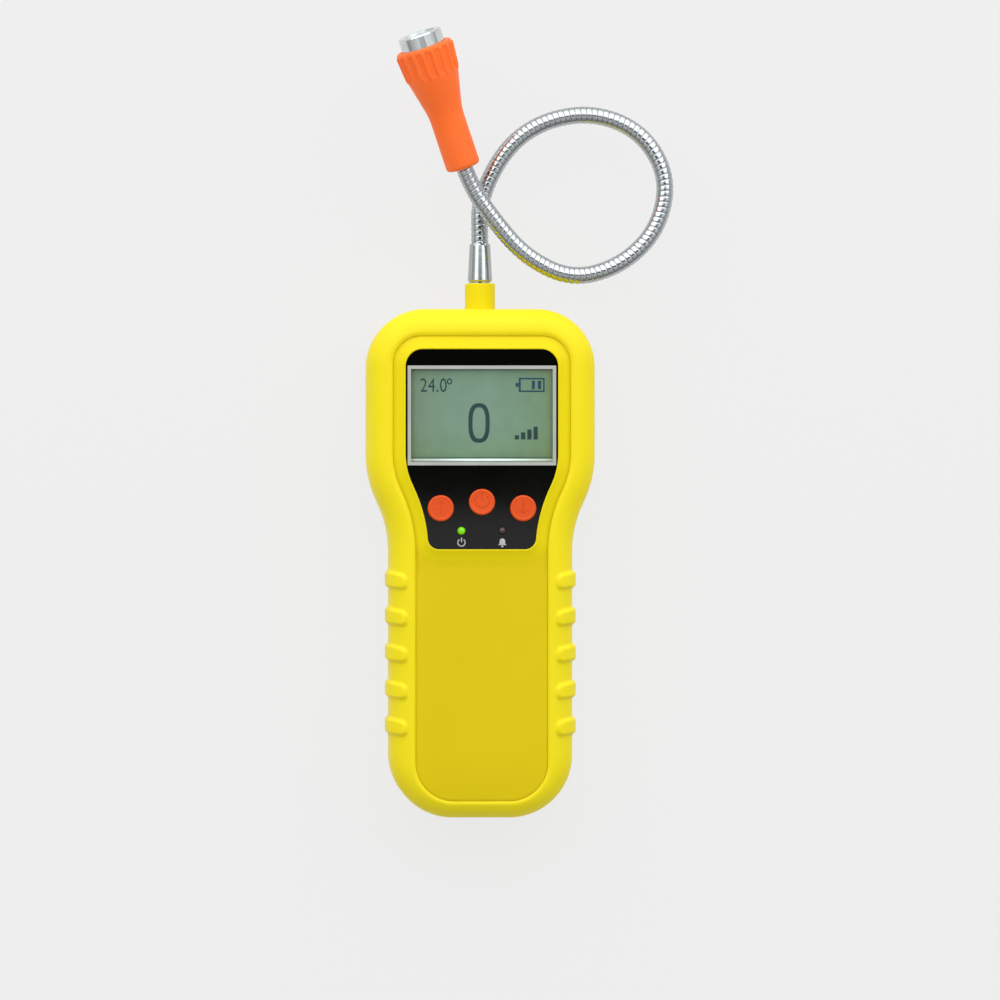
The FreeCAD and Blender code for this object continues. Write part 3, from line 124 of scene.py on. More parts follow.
near_to_far = room_nodes.new("ShaderNodeMapRange")
near_to_far.inputs["From Min"].default_value, near_to_far.inputs["From Max"].default_value = NEAR_FULL, 0
room_links.new(height.outputs["Y"], near_to_far.inputs["Value"])
room_links.new(near_side.outputs[0], near_to_far.inputs["To Min"])
room_links.new(near_to_far.outputs["Result"], backdrop.inputs["Strength"])
room_mix = room_nodes.new("ShaderNodeMixShader")
room_links.new(seen_share(room_nodes, room_links, 1), room_mix.inputs[0])
room_links.new(room_light.outputs[0], room_mix.inputs[1])
room_links.new(backdrop.outputs[0], room_mix.inputs[2])
room_links.new(room_mix.outputs[0], room_nodes["World Output"].inputs["Surface"])


def stage_plane(name, low, high, height, paint):
    """One flat face between two corners at a height."""
    mesh = bpy.data.meshes.new(name)
    mesh.from_pydata([(low[0], low[1], height), (high[0], low[1], height), (high[0], high[1], height),
                      (low[0], high[1], height)], [], [(0, 1, 2, 3)])
    mesh.materials.append(paint)
    obj = bpy.data.objects.new(name, mesh)
    bpy.context.scene.collection.objects.link(obj)
    return obj


table_paint = bpy.data.materials.new("table_paint")
table_paint.use_nodes = True
table_nodes, table_links = table_paint.node_tree.nodes, table_paint.node_tree.links
table_shader = table_nodes["Principled BSDF"]
table_shader.inputs["Base Color"].default_value = PALE
table_shader.inputs["Roughness"].default_value = 0.9
table_shader.inputs["Specular IOR Level"].default_value = 0
table_glow = table_nodes.new("ShaderNodeEmission")
table_glow.inputs["Color"].default_value = PALE
table_mix = table_nodes.new("ShaderNodeMixShader")
table_links.new(seen_share(table_nodes, table_links, PALE_SHARE), table_mix.inputs[0])
table_links.new(table_shader.outputs[0], table_mix.inputs[1])
table_links.new(table_glow.outputs[0], table_mix.inputs[2])
table_links.new(table_mix.outputs[0], table_nodes["Material Output"].inputs["Surface"])

table = stage_plane("table", (-TABLE_HALF, -TABLE_HALF), (TABLE_HALF, TABLE_HALF), TABLE_TOP, table_paint)


def lamp(name, place, aim, width, depth, power):
    """A rectangular soft lamp that faces its aim."""
    data = bpy.data.lights.new(name, "AREA")
    data.shape = "RECTANGLE"
    data.size, data.size_y, data.energy = width, depth, power
    obj = bpy.data.objects.new(name, data)
    obj.location = place
    direction = obj.location - obj.location.__class__(aim)
    obj.rotation_euler = direction.to_track_quat("Z", "Y").to_euler()
    obj.visible_camera = False
    bpy.context.scene.collection.objects.link(obj)


lamp("key_lamp", (0, 0.8, 0.68), (0, 0, 0), 2.9, 1.6, 21.2)

# A grey card hangs beside the lens. Only polished surfaces see it, so the panel's lower part mirrors it.
CARD_GREY, CARD_HEIGHT = 0.6, VIEW_DISTANCE + 100 * MM
CARD_LOW, CARD_HIGH = (-580 * MM, -883 * MM), (820 * MM, 16.7 * MM)
card_paint = bpy.data.materials.new("card_paint")
card_paint.use_nodes = True
card_nodes, card_links = card_paint.node_tree.nodes, card_paint.node_tree.links
card_glow = card_nodes.new("ShaderNodeEmission")
card_glow.inputs["Color"].default_value = (CARD_GREY, CARD_GREY, CARD_GREY, 1)
card_links.new(card_glow.outputs[0], card_nodes["Material Output"].inputs["Surface"])
card = stage_plane("card", CARD_LOW, CARD_HIGH, CARD_HEIGHT, card_paint)
card.visible_camera = card.visible_diffuse = card.visible_transmission = card.visible_shadow = False

# Housing: two yellow mouldings screwed together round a rubber seal. The front one has the neck that the
# gooseneck screws into, and a raised, softly rounded bezel round the black panel.
HEAD_HALF, WAIST_HALF, HALF_LENGTH = 40.2, 32.2, 89.7
SHOULDER_START, SHOULDER_RADIUS, SHOULDER_LINK = HALF_LENGTH - 51, 39.0, 3.1
SHOULDER_STEP = HEAD_HALF - WAIST_HALF
SHOULDER_TURN = (math.acos((2 * SHOULDER_RADIUS - SHOULDER_STEP)
                           / math.hypot(2 * SHOULDER_RADIUS, SHOULDER_LINK))
                 - math.atan2(SHOULDER_LINK, 2 * SHOULDER_RADIUS))
WAIST_START = (SHOULDER_START - 2 * SHOULDER_RADIUS * math.sin(SHOULDER_TURN)
               - SHOULDER_LINK * math.cos(SHOULDER_TURN))
BORDER_SIDE, BORDER_TOP, BORDER_BOTTOM = 8.9, 9.6, 5.9
OPENING_CORNER, OPENING_FOOT = 10.0, 13.5
PANEL_INSET, PANEL_TOP, PANEL_BOTTOM, PANEL_CORNER, PANEL_FOOT = 13.4, 75.35, 5.0, 6.0, 3.9
FACE_HEIGHT, BEZEL_RISE, BEZEL_REACH, BEZEL_LIP = 35.36, 1.72, 6.6, 0.4
SEAM_WIDTH, SEAM_DROP, SEAM_GAP, PANEL_EDGE_DROP, FACE_SKIN = 1.6, 0.45, 0.05, 0.18, 0.9
PANEL_RINGS = (0.06, 0.16, 0.26, 0.36, 0.5, 0.7, 1, 1.35, 1.7, 2.1, 2.5, 2.9, 3.3)
MIDDLE_RINGS = (0.003, 0.007, 0.012, 0.018, 0.026, 0.036, 0.05, 0.08, 0.2, 0.5, 0.8)
SEAM_RINGS = (1.1, 0.9, 0.7, 0.5, 0.35, 0.2, SEAM_GAP)
OUTLINE_COUNTS = [12, 30, 14, 14, 3, 14, 220, 26, 10]
PANEL_COUNTS = [12, 30, 14, 14, 3, 80, 150, 40]


def straight(start, end, count):
    """Points at even shares from start up to, but without, end."""
    share = np.linspace(0, 1, count, endpoint=False)[:, None]
    return (1 - share) * np.array(start) + share * np.array(end)


def bend(centre, radius, start, end, count):
    """Points at even angles on an arc about centre, from start up to, but without, end."""
    angle = np.linspace(start, end, count, endpoint=False)
    return np.column_stack([centre[0] + radius * np.cos(angle), centre[1] + radius * np.sin(angle)])


def outline(inset, top, bottom, top_corner, bottom_corner, counts):
    """The handset's outline drawn in by inset, as a closed loop of points from the top's middle.

    Each side is the head, a convex and a concave arc about fixed centres, and the waist. counts
    gives the points of each stretch, and the waist is left out where the bottom comes before it.
    """
    head, waist = HEAD_HALF - inset, WAIST_HALF - inset
    convex = (HEAD_HALF - SHOULDER_RADIUS, SHOULDER_START)
    concave = (WAIST_HALF + SHOULDER_RADIUS, WAIST_START)
    tight, wide = SHOULDER_RADIUS - inset, SHOULDER_RADIUS + inset
    cos, sin = math.cos(SHOULDER_TURN), math.sin(SHOULDER_TURN)
    link_top = (convex[0] + tight * cos, convex[1] - tight * sin)
    link_end = (concave[0] - wide * cos, concave[1] + wide * sin)
    count = iter(counts)
    parts = [straight((0, top), (head - top_corner, top), next(count)),
             bend((head - top_corner, top - top_corner), top_corner, math.pi / 2, 0, next(count)),
             straight((head, top - top_corner), (head, SHOULDER_START), next(count)),
             bend(convex, tight, 0, -SHOULDER_TURN, next(count)),
             straight(link_top, link_end, next(count))]
    if bottom + bottom_corner < WAIST_START:
        corner_x, meet = waist - bottom_corner, math.pi
    else:
        reach, drop = wide + bottom_corner, bottom + bottom_corner - WAIST_START
        corner_x, meet = concave[0] - math.sqrt(reach ** 2 - drop ** 2), math.pi - math.asin(drop / reach)
    parts.append(bend(concave, wide, math.pi - SHOULDER_TURN, meet, next(count)))
    if bottom + bottom_corner < WAIST_START:
        parts.append(straight((waist, WAIST_START), (waist, bottom + bottom_corner), next(count)))
    parts.append(bend((corner_x, bottom + bottom_corner), bottom_corner, meet - math.pi, -math.pi / 2,
                      next(count)))
    parts.append(straight((corner_x, bottom), (0, bottom), next(count)))
    right = np.vstack(parts)
    left = right[:0:-1] * (-1, 1)
    return np.vstack([right, [(0, bottom)], left])


def distance_to(points, loop):
    """Distance from each point of a grid to the nearest point of a finely drawn loop."""
    flat = points.reshape(-1, 2)
    ends = np.roll(loop, -1, axis=0)
    nearest = np.full(len(flat), np.inf)
    for start, end in zip(loop, ends):
        along = end - start
        share = np.clip(((flat - start) @ along) / max(along @ along, 1e-12), 0, 1)
        nearest = np.minimum(nearest, np.hypot(*(flat - start - share[:, None] * along).T))
    return nearest.reshape(points.shape[:-1])


def ease(share):
    """Smooth step from 0 to 1 as share goes from 0 to 1."""
    share = np.clip(share, 0, 1)
    return share * share * (3 - 2 * share)


def edge_drop(distance, width, drop):
    """How far a rounded edge falls: an arc, flat at width from the edge and drop lower at the edge."""
    radius = (width ** 2 + drop ** 2) / (2 * drop)
    return radius - np.sqrt(radius ** 2 - np.clip(width - distance, 0, width) ** 2)


def solid(name, vertices, faces, body, material, replaced=()):
    """A closed mesh piece from arrays in millimetres, with its faces turned outwards.

    The sign of the enclosed volume, a sum over triangle fans, says which way the faces point.
    """
    vertices = np.asarray(vertices, float) * MM
    triangles = np.array([(f[0], f[i], f[i + 1]) for f in faces for i in range(1, len(f) - 1)])
    a, b, c = (vertices[triangles[:, i]] for i in range(3))
    if np.einsum("ij,ij->", a, np.cross(b, c)) < 0:
        faces = [f[::-1] for f in faces]
    mesh = bpy.data.meshes.new(name)
    mesh.from_pydata(vertices.tolist(), [], faces)
    mesh.polygons.foreach_set("use_smooth", [True] * len(mesh.polygons))
    mesh.materials.append(material)
    mesh.update()
    obj = bpy.data.objects.new(name, mesh)
    bpy.context.scene.collection.objects.link(obj)
    if body:
        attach(obj, body)
    if replaced:
        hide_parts(*replaced)
    return obj


def quads(rows, columns, close_rows=True, close_columns=True):
    """Faces of a grid of rows x columns points, joined end to end where it closes."""
    r = np.arange(rows if close_rows else rows - 1)[:, None]
    c = np.arange(columns if close_columns else columns - 1)[None, :]
    r2, c2 = (r + 1) % rows, (c + 1) % columns
    grid = np.stack([r * columns + c, r2 * columns + c, r2 * columns + c2, r * columns + c2], axis=-1)
    return grid.reshape(-1, 4).tolist()


def sharpen(obj, degrees):
    """Keep edges sharper than an angle crisp, and round the shading of all others."""
    obj.data.set_sharp_from_angle(angle=math.radians(degrees))


def finish(name, colours, roughness, grain_size, grain_depth, blotch_size=12.0, stretch=(1, 1, 1),
           **sockets):
    """Material in two close colours with soft blotches, and a fine grain in its roughness and relief.

    Sizes are in millimetres on the object's own coordinates. stretch draws the grain out into brush
    lines along the axes where it is under 1, and sockets are constants set on the shader.
    """
    material = bpy.data.materials.new(name)
    material.use_nodes = True
    nodes, links = material.node_tree.nodes, material.node_tree.links
    shader = nodes["Principled BSDF"]
    for socket, value in sockets.items():
        shader.inputs[socket.replace("_", " ")].default_value = value
    place = nodes.new("ShaderNodeTexCoord").outputs["Object"]
    drawn = nodes.new("ShaderNodeMapping")
    drawn.inputs["Scale"].default_value = stretch
    links.new(place, drawn.inputs["Vector"])
    blotch, grain = (nodes.new("ShaderNodeTexNoise") for _ in range(2))
    links.new(place, blotch.inputs["Vector"])
    links.new(drawn.outputs["Vector"], grain.inputs["Vector"])
    for noise, length, detail in ((blotch, blotch_size, 3), (grain, grain_size, 2)):
        noise.inputs["Scale"].default_value = 1 / (length * MM)
        noise.inputs["Detail"].default_value = detail
    tint = nodes.new("ShaderNodeValToRGB")
    tint.name = "tint"
    tint.color_ramp.elements[0].position, tint.color_ramp.elements[1].position = 0.35, 0.65
    for element, colour in zip(tint.color_ramp.elements, colours):
        element.color = (*colour, 1)
    links.new(blotch.outputs["Fac"], tint.inputs["Fac"])
    links.new(tint.outputs["Color"], shader.inputs["Base Color"])
    spread = nodes.new("ShaderNodeMapRange")
    spread.inputs["To Min"].default_value, spread.inputs["To Max"].default_value = roughness
    links.new(grain.outputs["Fac"], spread.inputs["Value"])
    links.new(spread.outputs["Result"], shader.inputs["Roughness"])
    relief = nodes.new("ShaderNodeBump")
    relief.inputs["Strength"].default_value = 0.6
    relief.inputs["Distance"].default_value = grain_depth * MM
    links.new(grain.outputs["Fac"], relief.inputs["Height"])
    links.new(relief.outputs["Normal"], shader.inputs["Normal"])
    return material


def dress(material, *names):
    """Give CAD nodes a finish, in the slots that they already have."""
    for name in names:
        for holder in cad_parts[name].material_slots:
            holder.material = material


def object_place(nodes, links):
    """The node whose X, Y and Z are a point's place in the object."""
    parts = nodes.new("ShaderNodeSeparateXYZ")
    links.new(nodes.new("ShaderNodeTexCoord").outputs["Object"], parts.inputs["Vector"])
    return parts


def ramp(nodes, links, source, low, high, stops):
    """A colour from a place between low and high, in metres, by stops of share and colour."""
    share = nodes.new("ShaderNodeMapRange")
    share.inputs["From Min"].default_value, share.inputs["From Max"].default_value = low, high
    links.new(source, share.inputs["Value"])
    band = nodes.new("ShaderNodeValToRGB")
    band.color_ramp.elements[0].position, band.color_ramp.elements[1].position = stops[0][0], stops[-1][0]
    band.color_ramp.elements[0].color = (*stops[0][1], 1)
    band.color_ramp.elements[1].color = (*stops[-1][1], 1)
    for position, colour in stops[1:-1]:
        band.color_ramp.elements.new(position).color = (*colour, 1)
    links.new(share.outputs["Result"], band.inputs["Fac"])
    return band.outputs["Color"]


def product(nodes, links, first, second):
    """The two colours multiplied."""
    mixer = nodes.new("ShaderNodeMix")
    mixer.data_type, mixer.blend_type = "RGBA", "MULTIPLY"
    mixer.inputs["Factor"].default_value = 1
    links.new(first, mixer.inputs["A"])
    links.new(second, mixer.inputs["B"])
    return mixer.outputs["Result"]


MOULDED_YELLOW = ((0.785, 0.648, 0.001), (0.80, 0.662, 0.002))
yellow_plastic, face_yellow = (finish(name, MOULDED_YELLOW, (0.38, 0.5), 0.3, 0.012, 30.0,
                                      Specular_IOR_Level=0.15) for name in ("yellow_plastic", "face_yellow"))
seal_rubber = finish("seal_rubber", ((0.03, 0.03, 0.032), (0.045, 0.045, 0.047)), (0.6, 0.75), 0.4, 0.02)
screw_steel = finish("screw_steel", ((0.55, 0.56, 0.57), (0.64, 0.64, 0.63)), (0.22, 0.4), 0.3, 0.006, 2.0,
                     (1, 1, 0.2), Metallic=1)
dress(yellow_plastic, "front_shell", "rear_shell")
dress(seal_rubber, "case_seal")
dress(screw_steel, "case_screws")


def panel_loop(gap):
    """The black panel's outline, drawn out by gap."""
    return outline(PANEL_INSET - gap, PANEL_TOP + gap, PANEL_BOTTOM - gap, PANEL_CORNER + gap,
                   PANEL_FOOT + gap, PANEL_COUNTS)


def opening_outline(gap):
    """The boot's opening, drawn in by gap."""
    return outline(BORDER_SIDE + gap, HALF_LENGTH - BORDER_TOP - gap, BORDER_BOTTOM - HALF_LENGTH + gap,
                   OPENING_CORNER - gap, OPENING_FOOT - gap, OUTLINE_COUNTS)


def face_rows():
    """The housing's front as rings of points from the panel's edge out to the boot's opening.

    Height is the face's, plus the bezel's rise times the square of what is left of its reach, less
    two rounded edges: one at the panel and one that rolls down at the boot.
    """
    panels = [panel_loop(gap) for gap in PANEL_RINGS]
    seams = [opening_outline(gap) for gap in SEAM_RINGS]
    middles = [(1 - share) * panels[-1] + share * seams[0] for share in MIDDLE_RINGS]
    flats = np.array(panels + middles + seams)
    from_panel = distance_to(flats, panels[0])
    left = np.clip(1 - (from_panel - BEZEL_LIP) / BEZEL_REACH, 0, 1)
    height = FACE_HEIGHT + BEZEL_RISE * left ** 2 - edge_drop(from_panel, BEZEL_LIP, PANEL_EDGE_DROP)
    from_seam = distance_to(flats, opening_outline(0))
    height -= edge_drop(from_seam, SEAM_WIDTH, SEAM_DROP)
    return np.dstack([flats, height])


face_nodes, face_links = face_yellow.node_tree.nodes, face_yellow.node_tree.links
# Painted shade: the face is painted darker and more orange where it lies low, and at full colour up on the
# raised bezel.
face_painted_shade = ramp(face_nodes, face_links, object_place(face_nodes, face_links).outputs["Z"], FACE_HEIGHT * MM,
                  (FACE_HEIGHT + BEZEL_RISE) * MM, ((0.02, (0.90, 0.84, 1)), (0.35, (1, 1, 1))))
face_links.new(product(face_nodes, face_links, face_painted_shade, face_nodes["tint"].outputs["Color"]),
               face_nodes["Principled BSDF"].inputs["Base Color"])
face_top = face_rows()
face_foot = face_top[[-1, 0]] * (1, 1, 0) + (0, 0, FACE_HEIGHT - FACE_SKIN)
face_grid = np.concatenate([face_top, face_foot])
face_skin = solid("front_face", face_grid.reshape(-1, 3), quads(*face_grid.shape[:2]), "handset",
                  face_yellow)
sharpen(face_skin, 50)

# Power: three AA cells in series under a door on the back, which two small screws hold. Sprung steel plates
# join the cells end to end and carry their current up to the board.
cell_wrap = finish("cell_wrap", ((0.03, 0.07, 0.2), (0.035, 0.085, 0.24)), (0.25, 0.35), 0.8, 0.004, 30.0)
contact_steel = finish("contact_steel", ((0.60, 0.58, 0.53), (0.68, 0.66, 0.60)), (0.25, 0.38), 0.35, 0.005,
                       3.0, (1, 0.15, 1), Metallic=1)
dress(cell_wrap, "battery_cells")
dress(contact_steel, "battery_contacts")
dress(yellow_plastic, "battery_door")
dress(screw_steel, "door_screws")

# Board: a green circuit board on posts in the rear half, with its chips, three key switches, a sounder over
# the grille, a vibration motor, and the plug of the lead that comes down from the probe.
circuit_green = finish("circuit_green", ((0.008, 0.09, 0.03), (0.014, 0.15, 0.05)), (0.28, 0.4), 0.5, 0.02,
                       1.6)
black_plastic = finish("black_plastic", ((0.012, 0.012, 0.013), (0.02, 0.02, 0.021)), (0.4, 0.55), 0.25,
                       0.01)
white_plastic = finish("white_plastic", ((0.72, 0.73, 0.72), (0.78, 0.79, 0.78)), (0.4, 0.5), 0.4, 0.008)
dress(circuit_green, "main_board")
dress(black_plastic, "board_chips", "key_switches", "sounder")
dress(contact_steel, "vibration_motor")
dress(screw_steel, "board_screws")
dress(white_plastic, "lead_plug")

# Display: a glossy black panel with a green liquid-crystal module behind its window. The module is a glass
# in a thin silver frame under a clear window. Its glass is painted lighter and darker as light and shade,
# and a painted highlight at the light guide's lower edge is near white and made to glow.
WINDOW_LOW, WINDOW_HIGH = (np.array(corner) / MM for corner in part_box("lcd_window"))
GLASS_TOP = WINDOW_LOW[2]
FIGURE_RISE = 0.04
panel_black = finish("panel_black", ((0.0016, 0.0016, 0.0013), (0.0024, 0.0024, 0.0020)), (0.03, 0.06), 1.2,
                     0.001)
lcd_silver = finish("lcd_silver", ((0.41, 0.42, 0.395), (0.46, 0.47, 0.44)), (0.3, 0.42), 0.3, 0.004)
dress(panel_black, "display_panel")
dress(lcd_silver, "lcd_frame")
dress(white_plastic, "backlight")

lcd_green = finish("lcd_green", ((0.87, 0.87, 0.87), (0.93, 0.93, 0.93)), (0.3, 0.4), 0.5, 0.002, 5.0)
lcd_nodes, lcd_links = lcd_green.node_tree.nodes, lcd_green.node_tree.links
lcd_shader = lcd_nodes["Principled BSDF"]
lcd_place = object_place(lcd_nodes, lcd_links)
window_x, window_y = (WINDOW_LOW[0] * MM, WINDOW_HIGH[0] * MM), (WINDOW_LOW[1] * MM, WINDOW_HIGH[1] * MM)
# Painted light and shade down the glass: darker at its foot, a near-white painted highlight along the lower
# edge, a dark line above it, then green that is darker towards the top.
lcd_painted_light_down = ramp(lcd_nodes, lcd_links, lcd_place.outputs["Y"], *window_y, (
    (0.0, (0.22, 0.27, 0.23)), (0.008, (0.34, 0.42, 0.37)), (0.018, (0.85, 0.97, 0.93)),
    (0.03, (0.85, 0.97, 0.93)), (0.038, (0.09, 0.17, 0.135)), (0.046, (0.09, 0.17, 0.135)),
    (0.058, (0.20, 0.335, 0.20)), (0.12, (0.228, 0.37, 0.234)), (0.4, (0.243, 0.388, 0.283)),
    (0.85, (0.23, 0.368, 0.268)), (1.0, (0.20, 0.32, 0.215))))
# Painted shade across the glass: darker and yellower towards its left and right edges.
lcd_painted_shade_across = ramp(lcd_nodes, lcd_links, lcd_place.outputs["X"], *window_x, (
    (0.0, (0.74, 0.67, 0.52)), (0.04, (0.90, 0.84, 0.77)), (0.12, (0.95, 0.91, 0.89)),
    (0.3, (0.97, 0.97, 0.97)), (0.55, (1, 1, 1)), (0.75, (0.94, 0.95, 0.90)),
    (0.94, (0.93, 0.89, 0.72)), (1.0, (0.90, 0.80, 0.50))))
lcd_colour = product(lcd_nodes, lcd_links, product(lcd_nodes, lcd_links, lcd_painted_light_down, lcd_painted_shade_across),
                     lcd_nodes["tint"].outputs["Color"])
lcd_links.new(lcd_colour, lcd_shader.inputs["Base Color"])
# The painted highlight along the lower edge also glows, most in the middle of its length.
painted_edge_highlight = ramp(lcd_nodes, lcd_links, lcd_place.outputs["Y"], *window_y, (
    (0.0, (0, 0, 0)), (0.012, (0, 0, 0)), (0.02, (0.5, 0.66, 0.6)), (0.029, (0.5, 0.66, 0.6)),
    (0.036, (0, 0, 0)), (1.0, (0, 0, 0))))
painted_edge_highlight_spread = ramp(lcd_nodes, lcd_links, lcd_place.outputs["X"], *window_x, (
    (0.0, (0, 0, 0)), (0.18, (0.1, 0.1, 0.1)), (0.4, (1, 1, 1)), (0.65, (1, 1, 1)),
    (0.85, (0.25, 0.3, 0.25)), (1.0, (0, 0, 0))))
lcd_links.new(product(lcd_nodes, lcd_links, painted_edge_highlight, painted_edge_highlight_spread), lcd_shader.inputs["Emission Color"])
lcd_shader.inputs["Emission Strength"].default_value = 1.0
dress(lcd_green, "lcd_glass")

clear_window = finish("clear_window", ((0.97, 0.985, 0.975), (0.98, 0.99, 0.985)), (0.0, 0.012), 2.0,
                      0.0005, Transmission_Weight=1.0, IOR=1.45)
window_nodes, window_links = clear_window.node_tree.nodes, clear_window.node_tree.links
lamps_through = window_nodes.new("ShaderNodeBsdfTransparent")
lamps_through.inputs["Color"].default_value = (0.95, 0.97, 0.96, 1)
window_mix = window_nodes.new("ShaderNodeMixShader")
window_path = window_nodes.new("ShaderNodeLightPath")
lamps_or_room = window_nodes.new("ShaderNodeMath")
lamps_or_room.operation = "MAXIMUM"
window_links.new(window_path.outputs["Is Shadow Ray"], lamps_or_room.inputs[0])
window_links.new(window_path.outputs["Is Diffuse Ray"], lamps_or_room.inputs[1])
window_links.new(lamps_or_room.outputs[0], window_mix.inputs[0])
window_links.new(window_nodes["Principled BSDF"].outputs[0], window_mix.inputs[1])
window_links.new(lamps_through.outputs[0], window_mix.inputs[2])
window_links.new(window_mix.outputs[0], window_nodes["Material Output"].inputs["Surface"])
dress(clear_window, "lcd_window")


def plate(name, loops, low, high, body, material, replaced=()):
    """A flat plate between two heights, its outline and holes filled from loops of points."""
    curve = bpy.data.curves.new(name, "CURVE")
    curve.dimensions = "2D"
    curve.fill_mode = "BOTH"
    curve.extrude = (high - low) / 2 * MM
    for loop in loops:
        spline = curve.splines.new("POLY")
        spline.points.add(len(loop) - 1)
        flat = np.column_stack([np.asarray(loop) * MM, np.zeros(len(loop)), np.ones(len(loop))])
        spline.points.foreach_set("co", flat.ravel())
        spline.use_cyclic_u = True
    return flat_piece(name, curve, lambda flat: flat, low, high, body, material, replaced)


def flat_piece(name, curve, place, low, high, body, material, replaced=()):
    """A closed plate from a filled curve or figures: its mesh, with doubles merged, put in its place."""
    shape = bpy.data.objects.new(name + "_shape", curve)
    bpy.context.scene.collection.objects.link(shape)
    bpy.context.view_layer.update()
    mesh = bpy.data.meshes.new_from_object(shape.evaluated_get(bpy.context.evaluated_depsgraph_get()))
    bpy.data.objects.remove(shape)
    points = np.zeros(len(mesh.vertices) * 3)
    mesh.vertices.foreach_get("co", points)
    points = points.reshape(-1, 3) / MM
    height = np.where(points[:, 2] > 0, high, low)
    points = np.column_stack([place(points[:, :2]), height])
    merged, index = np.unique(np.round(points, 4), axis=0, return_inverse=True)
    index = index.ravel()
    faces = [[int(index[v]) for v in face.vertices] for face in mesh.polygons]
    faces = [face for face in faces if len(set(face)) == len(face)]
    obj = solid(name, merged, faces, body, material, replaced)
    sharpen(obj, 30)
    return obj


def oval(centre, half_width, half_height, power, count):
    """A loop of a superellipse: each co-ordinate's share of its half, to the power, adds up to 1."""
    angle = np.linspace(0, TURN, count, endpoint=False)
    x = np.sign(np.cos(angle)) * np.abs(np.cos(angle)) ** (2 / power)
    y = np.sign(np.sin(angle)) * np.abs(np.sin(angle)) ** (2 / power)
    return np.column_stack([centre[0] + half_width * x, centre[1] + half_height * y])


def block(left, bottom, right, top):
    """A loop round a rectangle."""
    return np.array([(left, bottom), (right, bottom), (right, top), (left, top)])


figure_ink = finish("figure_ink", ((0.028, 0.060, 0.060), (0.034, 0.070, 0.070)), (0.35, 0.45), 0.5, 0.001,
                    Specular_IOR_Level=0.1)
mark_ink = finish("mark_ink", ((0.020, 0.070, 0.10), (0.024, 0.080, 0.115)), (0.35, 0.45), 0.5, 0.001,
                  Specular_IOR_Level=0.1)
READING_MIDDLE, DEGREE_MIDDLE, SMALL_READING_CORNER = (-1.0, 49.4), (-11.4, 64.0), (-21.6, 60.3)
SMALL_READING_SIZE = (9.2, 4.8)
LEVEL_FOOT, LEVEL_WIDTH, LEVELS = 43.6, 1.5, ((11.6, 1.5), (13.8, 2.5), (16.0, 3.5), (18.2, 4.5))
CELL_BLOCKS = ((13.0, 60.3, 22.1, 65.3), (13.7, 60.85, 21.6, 64.75), (17.6, 61.3, 18.7, 64.3),
               (19.7, 61.3, 20.9, 64.3), (11.9, 62.1, 12.94, 63.5))


def display_mark(name, loops, ink):
    """A dark segment of the display: a thin plate on its glass."""
    plate(name, loops, GLASS_TOP, GLASS_TOP + FIGURE_RISE, "handset", ink)


display_mark("lcd_reading", [oval(READING_MIDDLE, 3.75, 6.95, 2.7, 72),
                             oval(READING_MIDDLE, 2.3, 5.5, 2.6, 72)], figure_ink)
display_mark("lcd_cell_mark", [block(*corners) for corners in CELL_BLOCKS], mark_ink)
display_mark("lcd_level_bars", [block(left, LEVEL_FOOT, left + LEVEL_WIDTH, LEVEL_FOOT + rise)
                                for left, rise in LEVELS], figure_ink)
figures = bpy.data.curves.new("lcd_small_figures", "FONT")
figures.body = "24.0"
figures.extrude = 0.001
figures.space_character = 1.05


def small_figures(flat):
    """The small reading's flat points, drawn in to its width and height and put in its corner."""
    low, high = flat.min(axis=0), flat.max(axis=0)
    return np.array(SMALL_READING_CORNER) + (flat - low) / (high - low) * SMALL_READING_SIZE


flat_piece("lcd_small_reading", figures, small_figures, GLASS_TOP, GLASS_TOP + FIGURE_RISE, "handset",
           figure_ink)
display_mark("lcd_degree_mark", [oval(DEGREE_MIDDLE, 0.95, 1.1, 2, 32),
                                 oval(DEGREE_MIDDLE, 0.5, 0.65, 2, 32)], figure_ink)

# Keys: three round orange caps that stand through the panel, each with its sign sunk into its face. A
# flange under the panel keeps each one in, and its stem presses the plunger of a switch on the board.
KEY_RADIUS, KEY_FLANGE_RADIUS, KEY_STEM_RADIUS, KEY_FLANGE = 4.6, 5.5, 2.0, 0.9
KEY_ROUND, KEY_DISH, KEY_DISH_EDGE, KEY_RIM, KEY_POLE = 0.6, 0.12, 0.6, 3.9, 0.03
SIGN_DEPTH, SIGN_HALF, SIGN_FLANK, OFF_SIGN = 0.10, 0.30, 0.18, 9
ARROW_HALF, ARROW_BARB, ARROW_BARB_FOOT, POWER_RING, POWER_RING_GAP = 2.3, 1.3, 1.0, 2.35, 0.55
POWER_STROKE, KEY_TOP_GAP, KEY_PANEL_GAP = ((0, 2.9), (0, 0.5)), 0.02, 0.05
UNDER_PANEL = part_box("display_panel")[0][2] / MM - KEY_PANEL_GAP
key_orange = finish("key_orange", ((0.715, 0.073, 0.002), (0.75, 0.080, 0.003)), (0.36, 0.48), 0.3, 0.006,
                    Specular_IOR_Level=0.3)
key_nodes, key_links = key_orange.node_tree.nodes, key_orange.node_tree.links
# Painted shade: each sign is painted darker and redder by how deep it is sunk, read from the sunk attribute.
sunk = key_nodes.new("ShaderNodeAttribute")
sunk.attribute_name = "sunk"
sign_painted_shade = ramp(key_nodes, key_links, sunk.outputs["Fac"], 0, 1, ((0, (1, 1, 1)), (1, (0.92, 0.80, 0.8))))
key_links.new(product(key_nodes, key_links, sign_painted_shade, key_nodes["tint"].outputs["Color"]),
              key_nodes["Principled BSDF"].inputs["Base Color"])


def capped(rows, columns):
    """Faces of a tube of rows x columns points, with a face over each of its two ends."""
    last = (rows - 1) * columns
    ends = [list(range(columns)), [last + i for i in reversed(range(columns))]]
    return quads(rows, columns, close_rows=False) + ends


